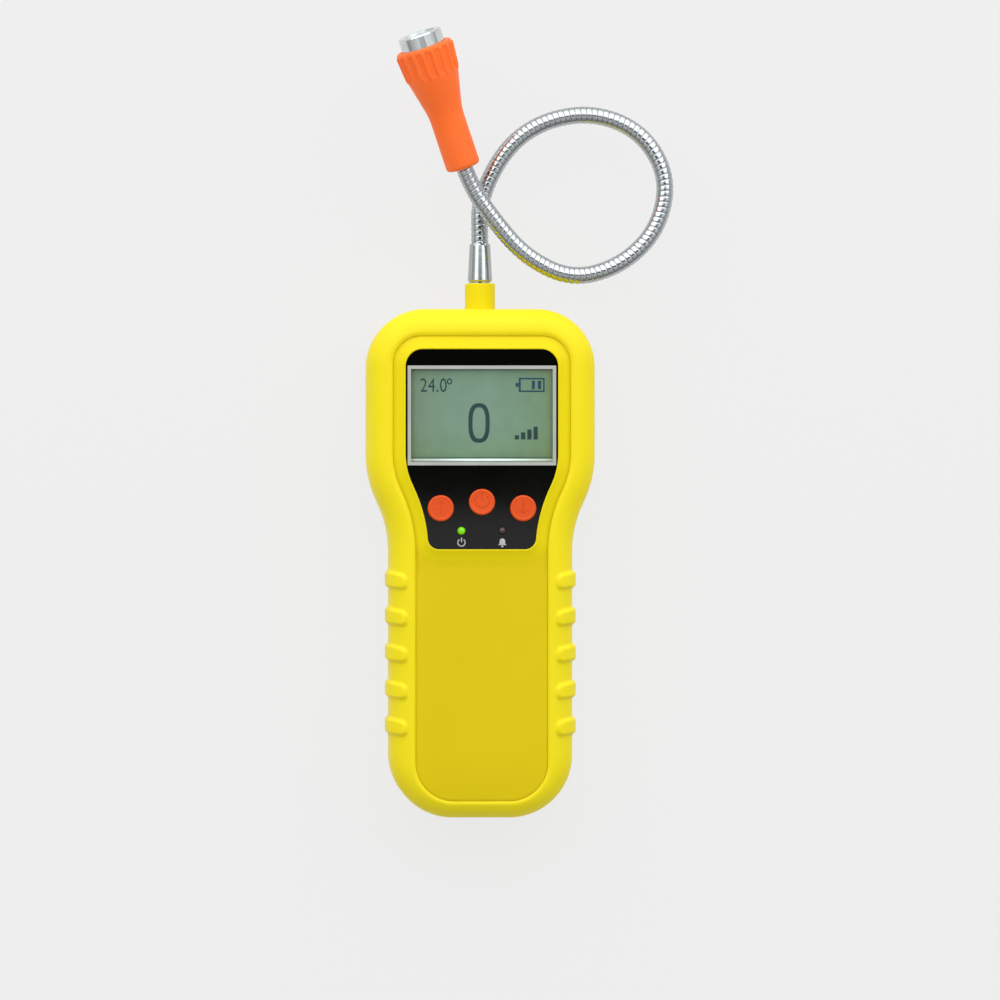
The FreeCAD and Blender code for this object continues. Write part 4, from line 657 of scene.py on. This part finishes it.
def from_stroke(flat, start, end):
    """Distance from points to a straight stroke."""
    start, along = np.array(start), np.subtract(end, start)
    share = np.clip(((flat - start) @ along) / (along @ along), 0, 1)
    return np.linalg.norm(flat - start - share[..., None] * along, axis=-1)


def from_arrow(flat, way):
    """Distance to an arrow that points up or down: a shaft and two short strokes at its head."""
    tip, foot = (0, ARROW_HALF * way), ARROW_BARB_FOOT * way
    ends = (0, -ARROW_HALF * way), (-ARROW_BARB, foot), (ARROW_BARB, foot)
    return np.min([from_stroke(flat, tip, end) for end in ends], axis=0)


def from_power_sign(flat):
    """Distance to a ring that is open at the top, with a stroke down through its gap."""
    radius, angle = np.linalg.norm(flat, axis=-1), np.arctan2(flat[..., 0], flat[..., 1])
    ring = np.where(np.abs(angle) > POWER_RING_GAP, np.abs(radius - POWER_RING), OFF_SIGN)
    return np.minimum(ring, from_stroke(flat, *POWER_STROKE))


def key_cap(name, sign):
    """A key: its profile turned about its middle, its face dished a little and its sign sunk in it."""
    low, high = (np.array(corner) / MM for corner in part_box("button_" + name))
    corner = np.linspace(0, math.pi / 2, 8)
    top = high[2] - KEY_TOP_GAP
    face = np.linspace(KEY_RIM, KEY_POLE, 52)
    stem = [(KEY_POLE, low[2]), (KEY_STEM_RADIUS, low[2]), (KEY_STEM_RADIUS, UNDER_PANEL - KEY_FLANGE),
            (KEY_FLANGE_RADIUS, UNDER_PANEL - KEY_FLANGE), (KEY_FLANGE_RADIUS, UNDER_PANEL),
            (KEY_RADIUS, UNDER_PANEL)]
    edge = np.column_stack([KEY_RADIUS - KEY_ROUND * (1 - np.cos(corner)),
                            top - KEY_ROUND * (1 - np.sin(corner))])
    dish = np.column_stack([face, top - KEY_DISH * ease((KEY_RIM - face) / KEY_DISH_EDGE)])
    profile = np.vstack([stem, edge, dish])
    around = np.linspace(0, TURN, 160, endpoint=False)
    flat = profile[:, :1, None] * np.stack([np.cos(around), np.sin(around)], axis=-1)[None]
    depth = ease((SIGN_HALF + SIGN_FLANK / 2 - sign(flat)) / SIGN_FLANK)
    depth[:-len(face)] = 0
    height = profile[:, 1:] - SIGN_DEPTH * depth
    grid = np.dstack([flat + (low + high)[:2] / 2, height])
    cap = solid("key_cap_" + name, grid.reshape(-1, 3), capped(*grid.shape[:2]), "key_" + name, key_orange,
                ["button_" + name])
    cap.data.attributes.new("sunk", "FLOAT", "POINT").data.foreach_set("value", depth.ravel())
    sharpen(cap, 50)


key_cap("up", lambda flat: from_arrow(flat, 1))
key_cap("power", from_power_sign)
key_cap("down", lambda flat: from_arrow(flat, -1))
dress(black_plastic, "key_plunger_up", "key_plunger_power", "key_plunger_down")

# Status lights: two domed light-emitting diodes through the panel. The left one is lit green and shows that
# the power is on, the right one is an unlit alarm light. A plain printed sign stands under each.
led_green = finish("led_green", ((0.12, 0.42, 0.003), (0.15, 0.50, 0.004)), (0.12, 0.2), 0.6, 0.003, 1.5,
                   Emission_Color=(0.22, 0.72, 0.0, 1), Emission_Strength=0.42)
led_red = finish("led_red", ((0.05, 0.026, 0.026), (0.075, 0.04, 0.038)), (0.12, 0.2), 0.6, 0.003, 1.5)
dress(led_green, "led_power")
dress(led_red, "led_alarm")
PRINT_BASE, PRINT_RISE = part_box("display_panel")[1][2] / MM, 0.03
SIGN_MIDDLE, SIGN_RING_OUTER, SIGN_RING_INNER, SIGN_RING_GAP = np.array((-7.2, 7.35)), 1.45, 1.1, 0.62
BELL_MIDDLE = (7.2, 7.35)
print_grey = finish("print_grey", ((0.42, 0.43, 0.44), (0.5, 0.51, 0.52)), (0.4, 0.55), 0.3, 0.001, 1.0)
ring_angle = np.linspace(SIGN_RING_GAP, TURN - SIGN_RING_GAP, 48) + math.pi / 2
ring = np.column_stack([np.cos(ring_angle), np.sin(ring_angle)])
power_ring = SIGN_MIDDLE + np.vstack([SIGN_RING_OUTER * ring, SIGN_RING_INNER * ring[::-1]])
plate("power_sign", [power_ring, block(-7.38, 7.4, -7.02, 9.1)], PRINT_BASE, PRINT_BASE + PRINT_RISE,
      "handset", print_grey)
bell_angle = np.linspace(0, math.pi, 16)
bell_dome = np.column_stack([-0.95 * np.cos(bell_angle), 0.5 + 0.9 * np.sin(bell_angle)])
bell = np.vstack([[(-1.5, -0.9), (-1.0, -0.4)], bell_dome, [(1.0, -0.4), (1.5, -0.9)]])
plate("alarm_sign", [bell + BELL_MIDDLE, oval((7.2, 6.0), 0.42, 0.3, 2, 20)], PRINT_BASE,
      PRINT_BASE + PRINT_RISE, "handset", print_grey)

# Rubber boot: one soft yellow moulding pulled over the housing. It has a lip round the front, five
# grip pads a side, a window over the battery door and a round hole over the sounder's slots.
BOOT_DEPTH, BOOT_WALL, BOOT_LIP = 36.0, 2.4, 2.0
FRONT_ROUND, REAR_ROUND, LIP_WIDTH, LIP_DROP = 8.0, 5.0, 1.7, 0.65
PAD_COUNT, PAD_PITCH, PAD_DROP, PAD_WIDTH, PAD_RISE = 5, 12.9, 44.3, 7.0, 1.25
PAD_FLANK, PAD_CORNER, PAD_TAPER, PAD_LEAN, PAD_REACH = 1.5, 2.6, 0.06, 0.2, 6.5
PAD_FOOT, PAD_FOOT_FADE, SIDE_MARGIN = 6, 3, 0.1
TOP_CORNER, FOOT_CORNER, BACK_INSET = 20.5, 22.2, 6.0
WINDOW_GAP, WINDOW_CORNER, SOUNDER_HOLE = 0.3, 3.0, 8.0

boot_rubber = finish("boot_rubber", ((0.855, 0.710, 0.002), (0.875, 0.730, 0.004)), (0.42, 0.56), 0.35, 0.02,
                     30.0, Specular_IOR_Level=0.26)
body_loop = outline(0, HALF_LENGTH, -HALF_LENGTH, TOP_CORNER, FOOT_CORNER, OUTLINE_COUNTS)
opening_loop = opening_outline(0)
chord = np.roll(body_loop, -1, axis=0) - np.roll(body_loop, 1, axis=0)
outward = np.column_stack([-chord[:, 1], chord[:, 0]])
outward /= np.linalg.norm(outward, axis=1)[:, None]


def pad_share(y, inset):
    """How high a grip pad stands: 1 on its top, easing to 0 round a rectangle with round corners.

    A pad leans down as it runs in over the front, and gets a little narrower.
    """
    offset = (y + PAD_LEAN * inset - (SHOULDER_START - PAD_DROP)) / PAD_PITCH
    near = np.clip(np.round(-offset), 0, PAD_COUNT - 1)
    away = np.abs(offset + near) * PAD_PITCH
    past_side = np.clip(away - PAD_WIDTH / 2 + PAD_TAPER * inset + PAD_CORNER, 0, None)
    past_end = np.clip(inset - PAD_REACH + PAD_CORNER, 0, None)
    return ease((PAD_CORNER - np.hypot(past_side, past_end)) / PAD_FLANK)


def boot_rows():
    """The boot's section at each point of its outline, as rows of points once round the wall.

    Outer rows run from the lip over the front round, down the side and under the rear round; the
    grip pads push them out along the section's own normal. Inner rows come back one wall inside.
    """
    at_side = np.abs(body_loop[:, 0]) > WAIST_HALF - SIDE_MARGIN
    rows = []
    from_lip = np.concatenate([np.linspace(0, 0.22, 12, endpoint=False), np.linspace(0.22, 1, 40)])
    for share in 1 - from_lip:
        flat = body_loop + (opening_loop - body_loop) * share
        inset = distance_to(flat, body_loop)
        clipped = np.minimum(inset, FRONT_ROUND)
        height = BOOT_DEPTH - FRONT_ROUND + np.sqrt(FRONT_ROUND ** 2 - (FRONT_ROUND - clipped) ** 2)
        height -= edge_drop(distance_to(flat, opening_loop), LIP_WIDTH, LIP_DROP)
        rows.append((flat, height, np.arccos(np.clip(1 - clipped / FRONT_ROUND, 0, 1)), inset, 1.0))
    for height in np.linspace(BOOT_DEPTH - FRONT_ROUND, REAR_ROUND, 18)[1:]:
        fade = ease((height - PAD_FOOT) / PAD_FOOT_FADE)
        rows.append((body_loop, np.full(len(body_loop), height), 0, 0, fade))
    for angle in np.linspace(0, math.pi / 2, 8)[1:]:
        inset = REAR_ROUND * (1 - math.cos(angle))
        height = REAR_ROUND * (1 - math.sin(angle))
        rows.append((body_loop - inset * outward, np.full(len(body_loop), height), -angle, 0, 0))
    points = []
    for flat, height, lean, inset, fade in rows:
        push = PAD_RISE * pad_share(flat[:, 1], inset) * at_side * fade
        moved = flat + (push * np.cos(lean))[:, None] * outward
        points.append(np.column_stack([moved, height + push * np.sin(lean)]))
    inner = [(BACK_INSET, 0), (BACK_INSET, BOOT_WALL), (REAR_ROUND, BOOT_WALL), (BOOT_WALL, REAR_ROUND),
             (BOOT_WALL, BOOT_DEPTH - FRONT_ROUND), (5, BOOT_DEPTH - BOOT_LIP)]
    for inset, height in inner:
        points.append(np.column_stack([body_loop - inset * outward, np.full(len(body_loop), height)]))
    points.append(np.column_stack([opening_loop, np.full(len(body_loop), BOOT_DEPTH - BOOT_LIP)]))
    return np.array(points)


boot_grid = boot_rows()
boot_skin = solid("boot_skin", boot_grid.reshape(-1, 3), quads(*boot_grid.shape[:2]), "handset",
                  boot_rubber, ["boot"])
sharpen(boot_skin, 50)


def rounded_rectangle(low, high, radius, count):
    """A closed loop round a rectangle with round corners, count points to a corner."""
    corners = [((high[0] - radius, high[1] - radius), 0), ((low[0] + radius, high[1] - radius), 1),
               ((low[0] + radius, low[1] + radius), 2), ((high[0] - radius, low[1] + radius), 3)]
    return np.vstack([bend(centre, radius, quarter * math.pi / 2, (quarter + 1) * math.pi / 2, count)
                      for centre, quarter in corners])


door_low, door_high = (np.array(corner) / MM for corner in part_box("battery_door"))
sounder_low, sounder_high = (np.array(corner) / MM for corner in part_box("sounder"))
window_loop = rounded_rectangle(door_low[:2] - WINDOW_GAP, door_high[:2] + WINDOW_GAP, WINDOW_CORNER, 10)
sounder_centre = (sounder_low + sounder_high)[:2] / 2
hole_loop = bend(sounder_centre, SOUNDER_HOLE, 0, TURN, 64)
plate("boot_back", [body_loop - BACK_INSET * outward, window_loop, hole_loop], 0, BOOT_WALL, "handset",
      boot_rubber, ["boot"])

# Gooseneck: a polished steel strip wound round itself into a 6 mm hose that stays where it is bent.
# It starts in the chromed ferrule, makes one loop to the right, crosses over its own root and ends in the
# grip. The hose is cut into one length round each hinge, and two lengths meet halfway between their hinges.
FERRULE_END, NECK_HEIGHT = 113.0, 18.0
HOSE_IN_FERRULE, HOSE_IN_GRIP = 9.3, 6.0
HOSE_RADIUS = 3.04
WINDING, WINDING_GAP, GAP_DEPTH, GAP_LEAD, CROWN = 1.95, 0.24, 0.32, 0.35, 0.04
STEPS_PER_BEND, RING_STEP, RING_SIDES, TANGENT_REACH = 200, 0.1, 48, 0.3
PROBE_TURN, PROBE_TILT = math.radians(18.8), math.radians(8.5)
PROBE_AXIS = np.array([-math.sin(PROBE_TURN) * math.cos(PROBE_TILT),
                       math.cos(PROBE_TURN) * math.cos(PROBE_TILT), math.sin(PROBE_TILT)])
hose_route = np.array([(0, -HOSE_IN_FERRULE, 0), (0, 1.2, 0), (-0.3, 15.9, 0), (9.2, 34.3, 0.2),
                       (23, 43.9, 0.6), (40.9, 46.5, 1.1), (57.7, 39.3, 1.7), (66.7, 23.2, 2.4),
                       (63, 5.1, 3.2), (50.4, -7.6, 4.2), (32.7, -12.9, 5.5), (15.9, -5, 7), (4.2, 8.5, 8.9),
                       (-4.25, 20.9, 10.6)])
hose_route = hose_route + (0, FERRULE_END, NECK_HEIGHT)
hose_route = np.vstack([hose_route, hose_route[-1] + 2 * HOSE_IN_GRIP * PROBE_AXIS])
HINGE_RUNS = [1, 3, 5, 7, 9, 11, 12]
BEND_REACH = 7.0


def hose_line(route):
    """The hose's smooth middle line, as points.

    At each inner point of the route a parabola runs from the middle of the run before it to the
    middle of the run after it. The line's ends are the route's own.
    """
    starts = (route[:-2] + route[1:-1]) / 2
    ends = (route[1:-1] + route[2:]) / 2
    starts[0], ends[-1] = route[0], route[-1]
    share = np.linspace(0, 1, STEPS_PER_BEND, endpoint=False)[None, :, None]
    curve = ((1 - share) ** 2 * starts[:, None] + 2 * share * (1 - share) * route[1:-1, None]
             + share ** 2 * ends[:, None])
    return np.vstack([curve.reshape(-1, 3), ends[-1:]])


hose_points = hose_line(hose_route)
hose_along = np.concatenate([[0], np.cumsum(np.linalg.norm(np.diff(hose_points, axis=0), axis=1))])


def hose_middle(along):
    """Points of the middle line at distances along it."""
    return np.column_stack([np.interp(along, hose_along, hose_points[:, i]) for i in range(3)])


def wound_tube(start, end):
    """A length of wound hose, as rings of points about the middle line.

    The radius is crowned over each turn of the strip and drops in the gap between two turns. The
    turn's phase is the way along divided by the winding's pitch, less the angle's share of a circle.
    """
    along = np.linspace(start, end, int(round((end - start) / RING_STEP)) + 1)
    tangent = hose_middle(along + TANGENT_REACH) - hose_middle(along - TANGENT_REACH)
    tangent /= np.linalg.norm(tangent, axis=1)[:, None]
    side = np.cross((0, 0, 1), tangent)
    side /= np.linalg.norm(side, axis=1)[:, None]
    over = np.cross(tangent, side)
    angle = np.linspace(0, TURN, RING_SIDES, endpoint=False)
    phase = (along[:, None] / WINDING - angle[None, :] / TURN) % 1
    from_middle = np.abs(phase - 0.5) * WINDING
    gap_edge = WINDING / 2 - WINDING_GAP / 2
    radius = HOSE_RADIUS - CROWN * (from_middle / gap_edge) ** 4
    radius = radius - GAP_DEPTH * ease((from_middle - gap_edge) / (WINDING_GAP / 2) + GAP_LEAD)
    ring = (np.cos(angle)[None, :, None] * side[:, None] + np.sin(angle)[None, :, None] * over[:, None])
    return hose_middle(along)[:, None] + radius[:, :, None] * ring


hose_steel = finish("hose_steel", ((0.42, 0.445, 0.455), (0.50, 0.525, 0.535)), (0.06, 0.15), 0.35, 0.008,
                    1.0, Metallic=1)
# Painted shade: the ferrule's chrome is painted darker than the cap's, though both are chromed alike.
chrome = finish("chrome", ((0.42, 0.435, 0.44), (0.465, 0.48, 0.485)), (0.06, 0.14), 0.5, 0.002, 3.0,
                Metallic=1)
brass = finish("brass", ((0.62, 0.42, 0.16), (0.70, 0.48, 0.20)), (0.2, 0.35), 0.3, 0.005, 3.0,
               (0.2, 1, 0.2), Metallic=1)
lead_black = finish("lead_black", ((0.015, 0.015, 0.016), (0.025, 0.025, 0.026)), (0.4, 0.55), 0.3, 0.008)
dress(chrome, "ferrule")
dress(brass, "neck_nut")
dress(lead_black, "handset_lead", *["lead_core_%d" % number for number in range(1, 9)])

hinge_places = [(hose_route[run] + hose_route[run + 1]) / 2 for run in HINGE_RUNS]
hinge_ways = [hose_route[run + 1] - hose_route[run] for run in HINGE_RUNS]
hinge_along = [hose_along[np.argmin(np.linalg.norm(hose_points - place, axis=1))] for place in hinge_places]
joins = [0] + [(a + b) / 2 for a, b in zip(hinge_along, hinge_along[1:])] + [hose_along[-1]]
for number, (place, way) in enumerate(zip(hinge_places, hinge_ways)):
    grid = wound_tube(joins[number], joins[number + 1])
    faces = capped(*grid.shape[:2])
    stands_for = ["gooseneck_span_%d" % (number + 1)] + (["gooseneck_span_8"] if number == 6 else [])
    hose = solid("hose_length_%d" % (number + 1), grid.reshape(-1, 3), faces, None, hose_steel,
                 stands_for)
    way = way / np.linalg.norm(way) * BEND_REACH
    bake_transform(hose)


# Probe grip: one orange moulding over the hose's end. A round handle flares into a head with eighteen
# raised ridges round it, and the chromed cap sits in the head's mouth.
GRIP_RADIUS, GRIP_STRAIGHT, GRIP_LENGTH = 6.1, 17.5, 45.4
GRIP_FLARE_ROUND, GRIP_FLARE_RADIUS, GRIP_BAND_START, GRIP_TOP_RADIUS = 27.0, 9.2, 34.0, 10.1
TAIL_ROUND, SHOULDER_ROUND = 1.4, 1.2
RIDGE_COUNT, RIDGE_RISE, RIDGE_HALF, RIDGE_FADE, RIDGE_END = 18, 0.48, 0.85, 1.8, 44.2
RIDGE_VALLEY, RIDGE_POWER, POINTS_PER_RIDGE = 0.24, 0.7, 24
MOUTH_RADIUS, MOUTH_DEPTH, MOUTH_CHAMFER, HOSE_HOLE_GAP, INNER_ROWS = 7.9, 3.0, 0.2, 0.1, 6
grip_tail = hose_route[-1] - HOSE_IN_GRIP * PROBE_AXIS


def grip_profile():
    """Rows of (way along, radius) once round the grip's wall, from the hole at the tail and back.

    The flare is an arc tangent to the straight handle, then a cone; all corners are quarter circles.
    """
    turn = np.linspace(0, math.pi / 2, 9)[:, None]
    tail = np.hstack([TAIL_ROUND * (1 - np.cos(turn)), GRIP_RADIUS - TAIL_ROUND * (1 - np.sin(turn))])
    rest, run = GRIP_FLARE_ROUND - GRIP_FLARE_RADIUS + GRIP_RADIUS, GRIP_BAND_START - GRIP_STRAIGHT
    sweep = math.asin(GRIP_FLARE_ROUND / math.hypot(run, rest)) - math.atan2(rest, run)
    handle = np.column_stack([np.linspace(TAIL_ROUND, GRIP_STRAIGHT, 18)[1:], np.full(17, GRIP_RADIUS)])
    lean = np.linspace(0, sweep, 12)[1:]
    flare = np.column_stack([GRIP_STRAIGHT + GRIP_FLARE_ROUND * np.sin(lean),
                             GRIP_RADIUS + GRIP_FLARE_ROUND * (1 - np.cos(lean))])
    cone = straight(flare[-1], (GRIP_BAND_START, GRIP_FLARE_RADIUS), 16)[1:]
    band_end = GRIP_LENGTH - SHOULDER_ROUND
    share = np.linspace(0, 1, 40)
    band = np.column_stack([GRIP_BAND_START + share * (band_end - GRIP_BAND_START),
                            GRIP_FLARE_RADIUS + share * (GRIP_TOP_RADIUS - GRIP_FLARE_RADIUS)])
    shoulder = np.hstack([band_end + SHOULDER_ROUND * np.sin(turn),
                          GRIP_TOP_RADIUS - SHOULDER_ROUND * (1 - np.cos(turn))])[1:]
    inner = [(GRIP_LENGTH, MOUTH_RADIUS + MOUTH_CHAMFER), (GRIP_LENGTH - MOUTH_CHAMFER, MOUTH_RADIUS),
             (GRIP_LENGTH - MOUTH_DEPTH, MOUTH_RADIUS), (GRIP_LENGTH - MOUTH_DEPTH, HOSE_RADIUS + 1),
             (2, HOSE_RADIUS + HOSE_HOLE_GAP), (0, HOSE_RADIUS + HOSE_HOLE_GAP)]
    return np.vstack([tail, handle, flare, cone, band, shoulder, inner])


def probe_point(along, radius, angle):
    """Points round the probe's axis: along it from the grip's tail, at a radius and an angle."""
    side = np.cross((0, 0, 1), PROBE_AXIS)
    side /= np.linalg.norm(side)
    over = np.cross(PROBE_AXIS, side)
    return (grip_tail + along[..., None] * PROBE_AXIS
            + radius[..., None] * (np.cos(angle)[..., None] * side + np.sin(angle)[..., None] * over))


grip_orange = finish("grip_orange", ((0.99, 0.155, 0.018), (1.0, 0.166, 0.022)), (0.42, 0.54), 0.5, 0.008,
                     20.0, Specular_IOR_Level=0.3, Subsurface_Weight=0.2, Subsurface_Scale=0.004)

# A ridge's height is its full rise times the power of 1 less the squares of two shares: how far a point is
# off the ridge's middle, and how far it is past the ridge's end. Between ridges the wall dips a little.
profile = grip_profile()
angle = np.linspace(0, TURN, RIDGE_COUNT * POINTS_PER_RIDGE, endpoint=False)
along = np.repeat(profile[:, :1], len(angle), axis=1)
radius = np.repeat(profile[:, 1:], len(angle), axis=1)
pitch_angle = TURN / RIDGE_COUNT
off_ridge = np.abs((angle + pitch_angle / 2) % pitch_angle - pitch_angle / 2)[None, :] * radius
past_low = (GRIP_BAND_START + RIDGE_FADE - along) / RIDGE_FADE
past_high = (along - RIDGE_END + RIDGE_HALF) / RIDGE_HALF
past_end = np.maximum(past_low, past_high).clip(0)
bar = np.clip(1 - (off_ridge / RIDGE_HALF) ** 2 - past_end ** 2, 0, 1) ** RIDGE_POWER
is_outer = np.arange(len(profile))[:, None] < len(profile) - INNER_ROWS
valley = ease(1 - past_end) * (1 - bar)
radius = radius + (RIDGE_RISE * bar - RIDGE_VALLEY * valley) * is_outer
grip_grid = probe_point(along, radius, np.repeat(angle[None], len(profile), axis=0))
grip = solid("probe_grip_skin", grip_grid.reshape(-1, 3), quads(*grip_grid.shape[:2]), "probe", grip_orange,
             ["probe_grip"])
sharpen(grip, 70)

# Sensor: a gas sensor can on a small round board behind the cap's inlet, sealed into the grip's head, with
# the lead coming out of the hose's crimped end. The chromed cap screws in over a sintered steel disc.
mesh_steel = finish("mesh_steel", ((0.62, 0.66, 0.66), (0.76, 0.80, 0.80)), (0.38, 0.6), 0.45, 0.06, 0.5,
                    Metallic=1)
# Painted light: the cap's chrome is painted lighter than the ferrule's, though both are chromed alike.
cap_chrome_painted_lighter = finish("cap_chrome_painted_lighter", ((0.62, 0.645, 0.64), (0.68, 0.705, 0.70)), (0.03, 0.08), 0.5, 0.002, 3.0,
                    Metallic=1)
dress(cap_chrome_painted_lighter, "sensor_cap")
dress(mesh_steel, "sensor_mesh")
dress(seal_rubber, "sensor_seal")
dress(circuit_green, "sensor_board")
dress(contact_steel, "gas_sensor")
dress(brass, "hose_crimp")
dress(lead_black, "probe_lead")
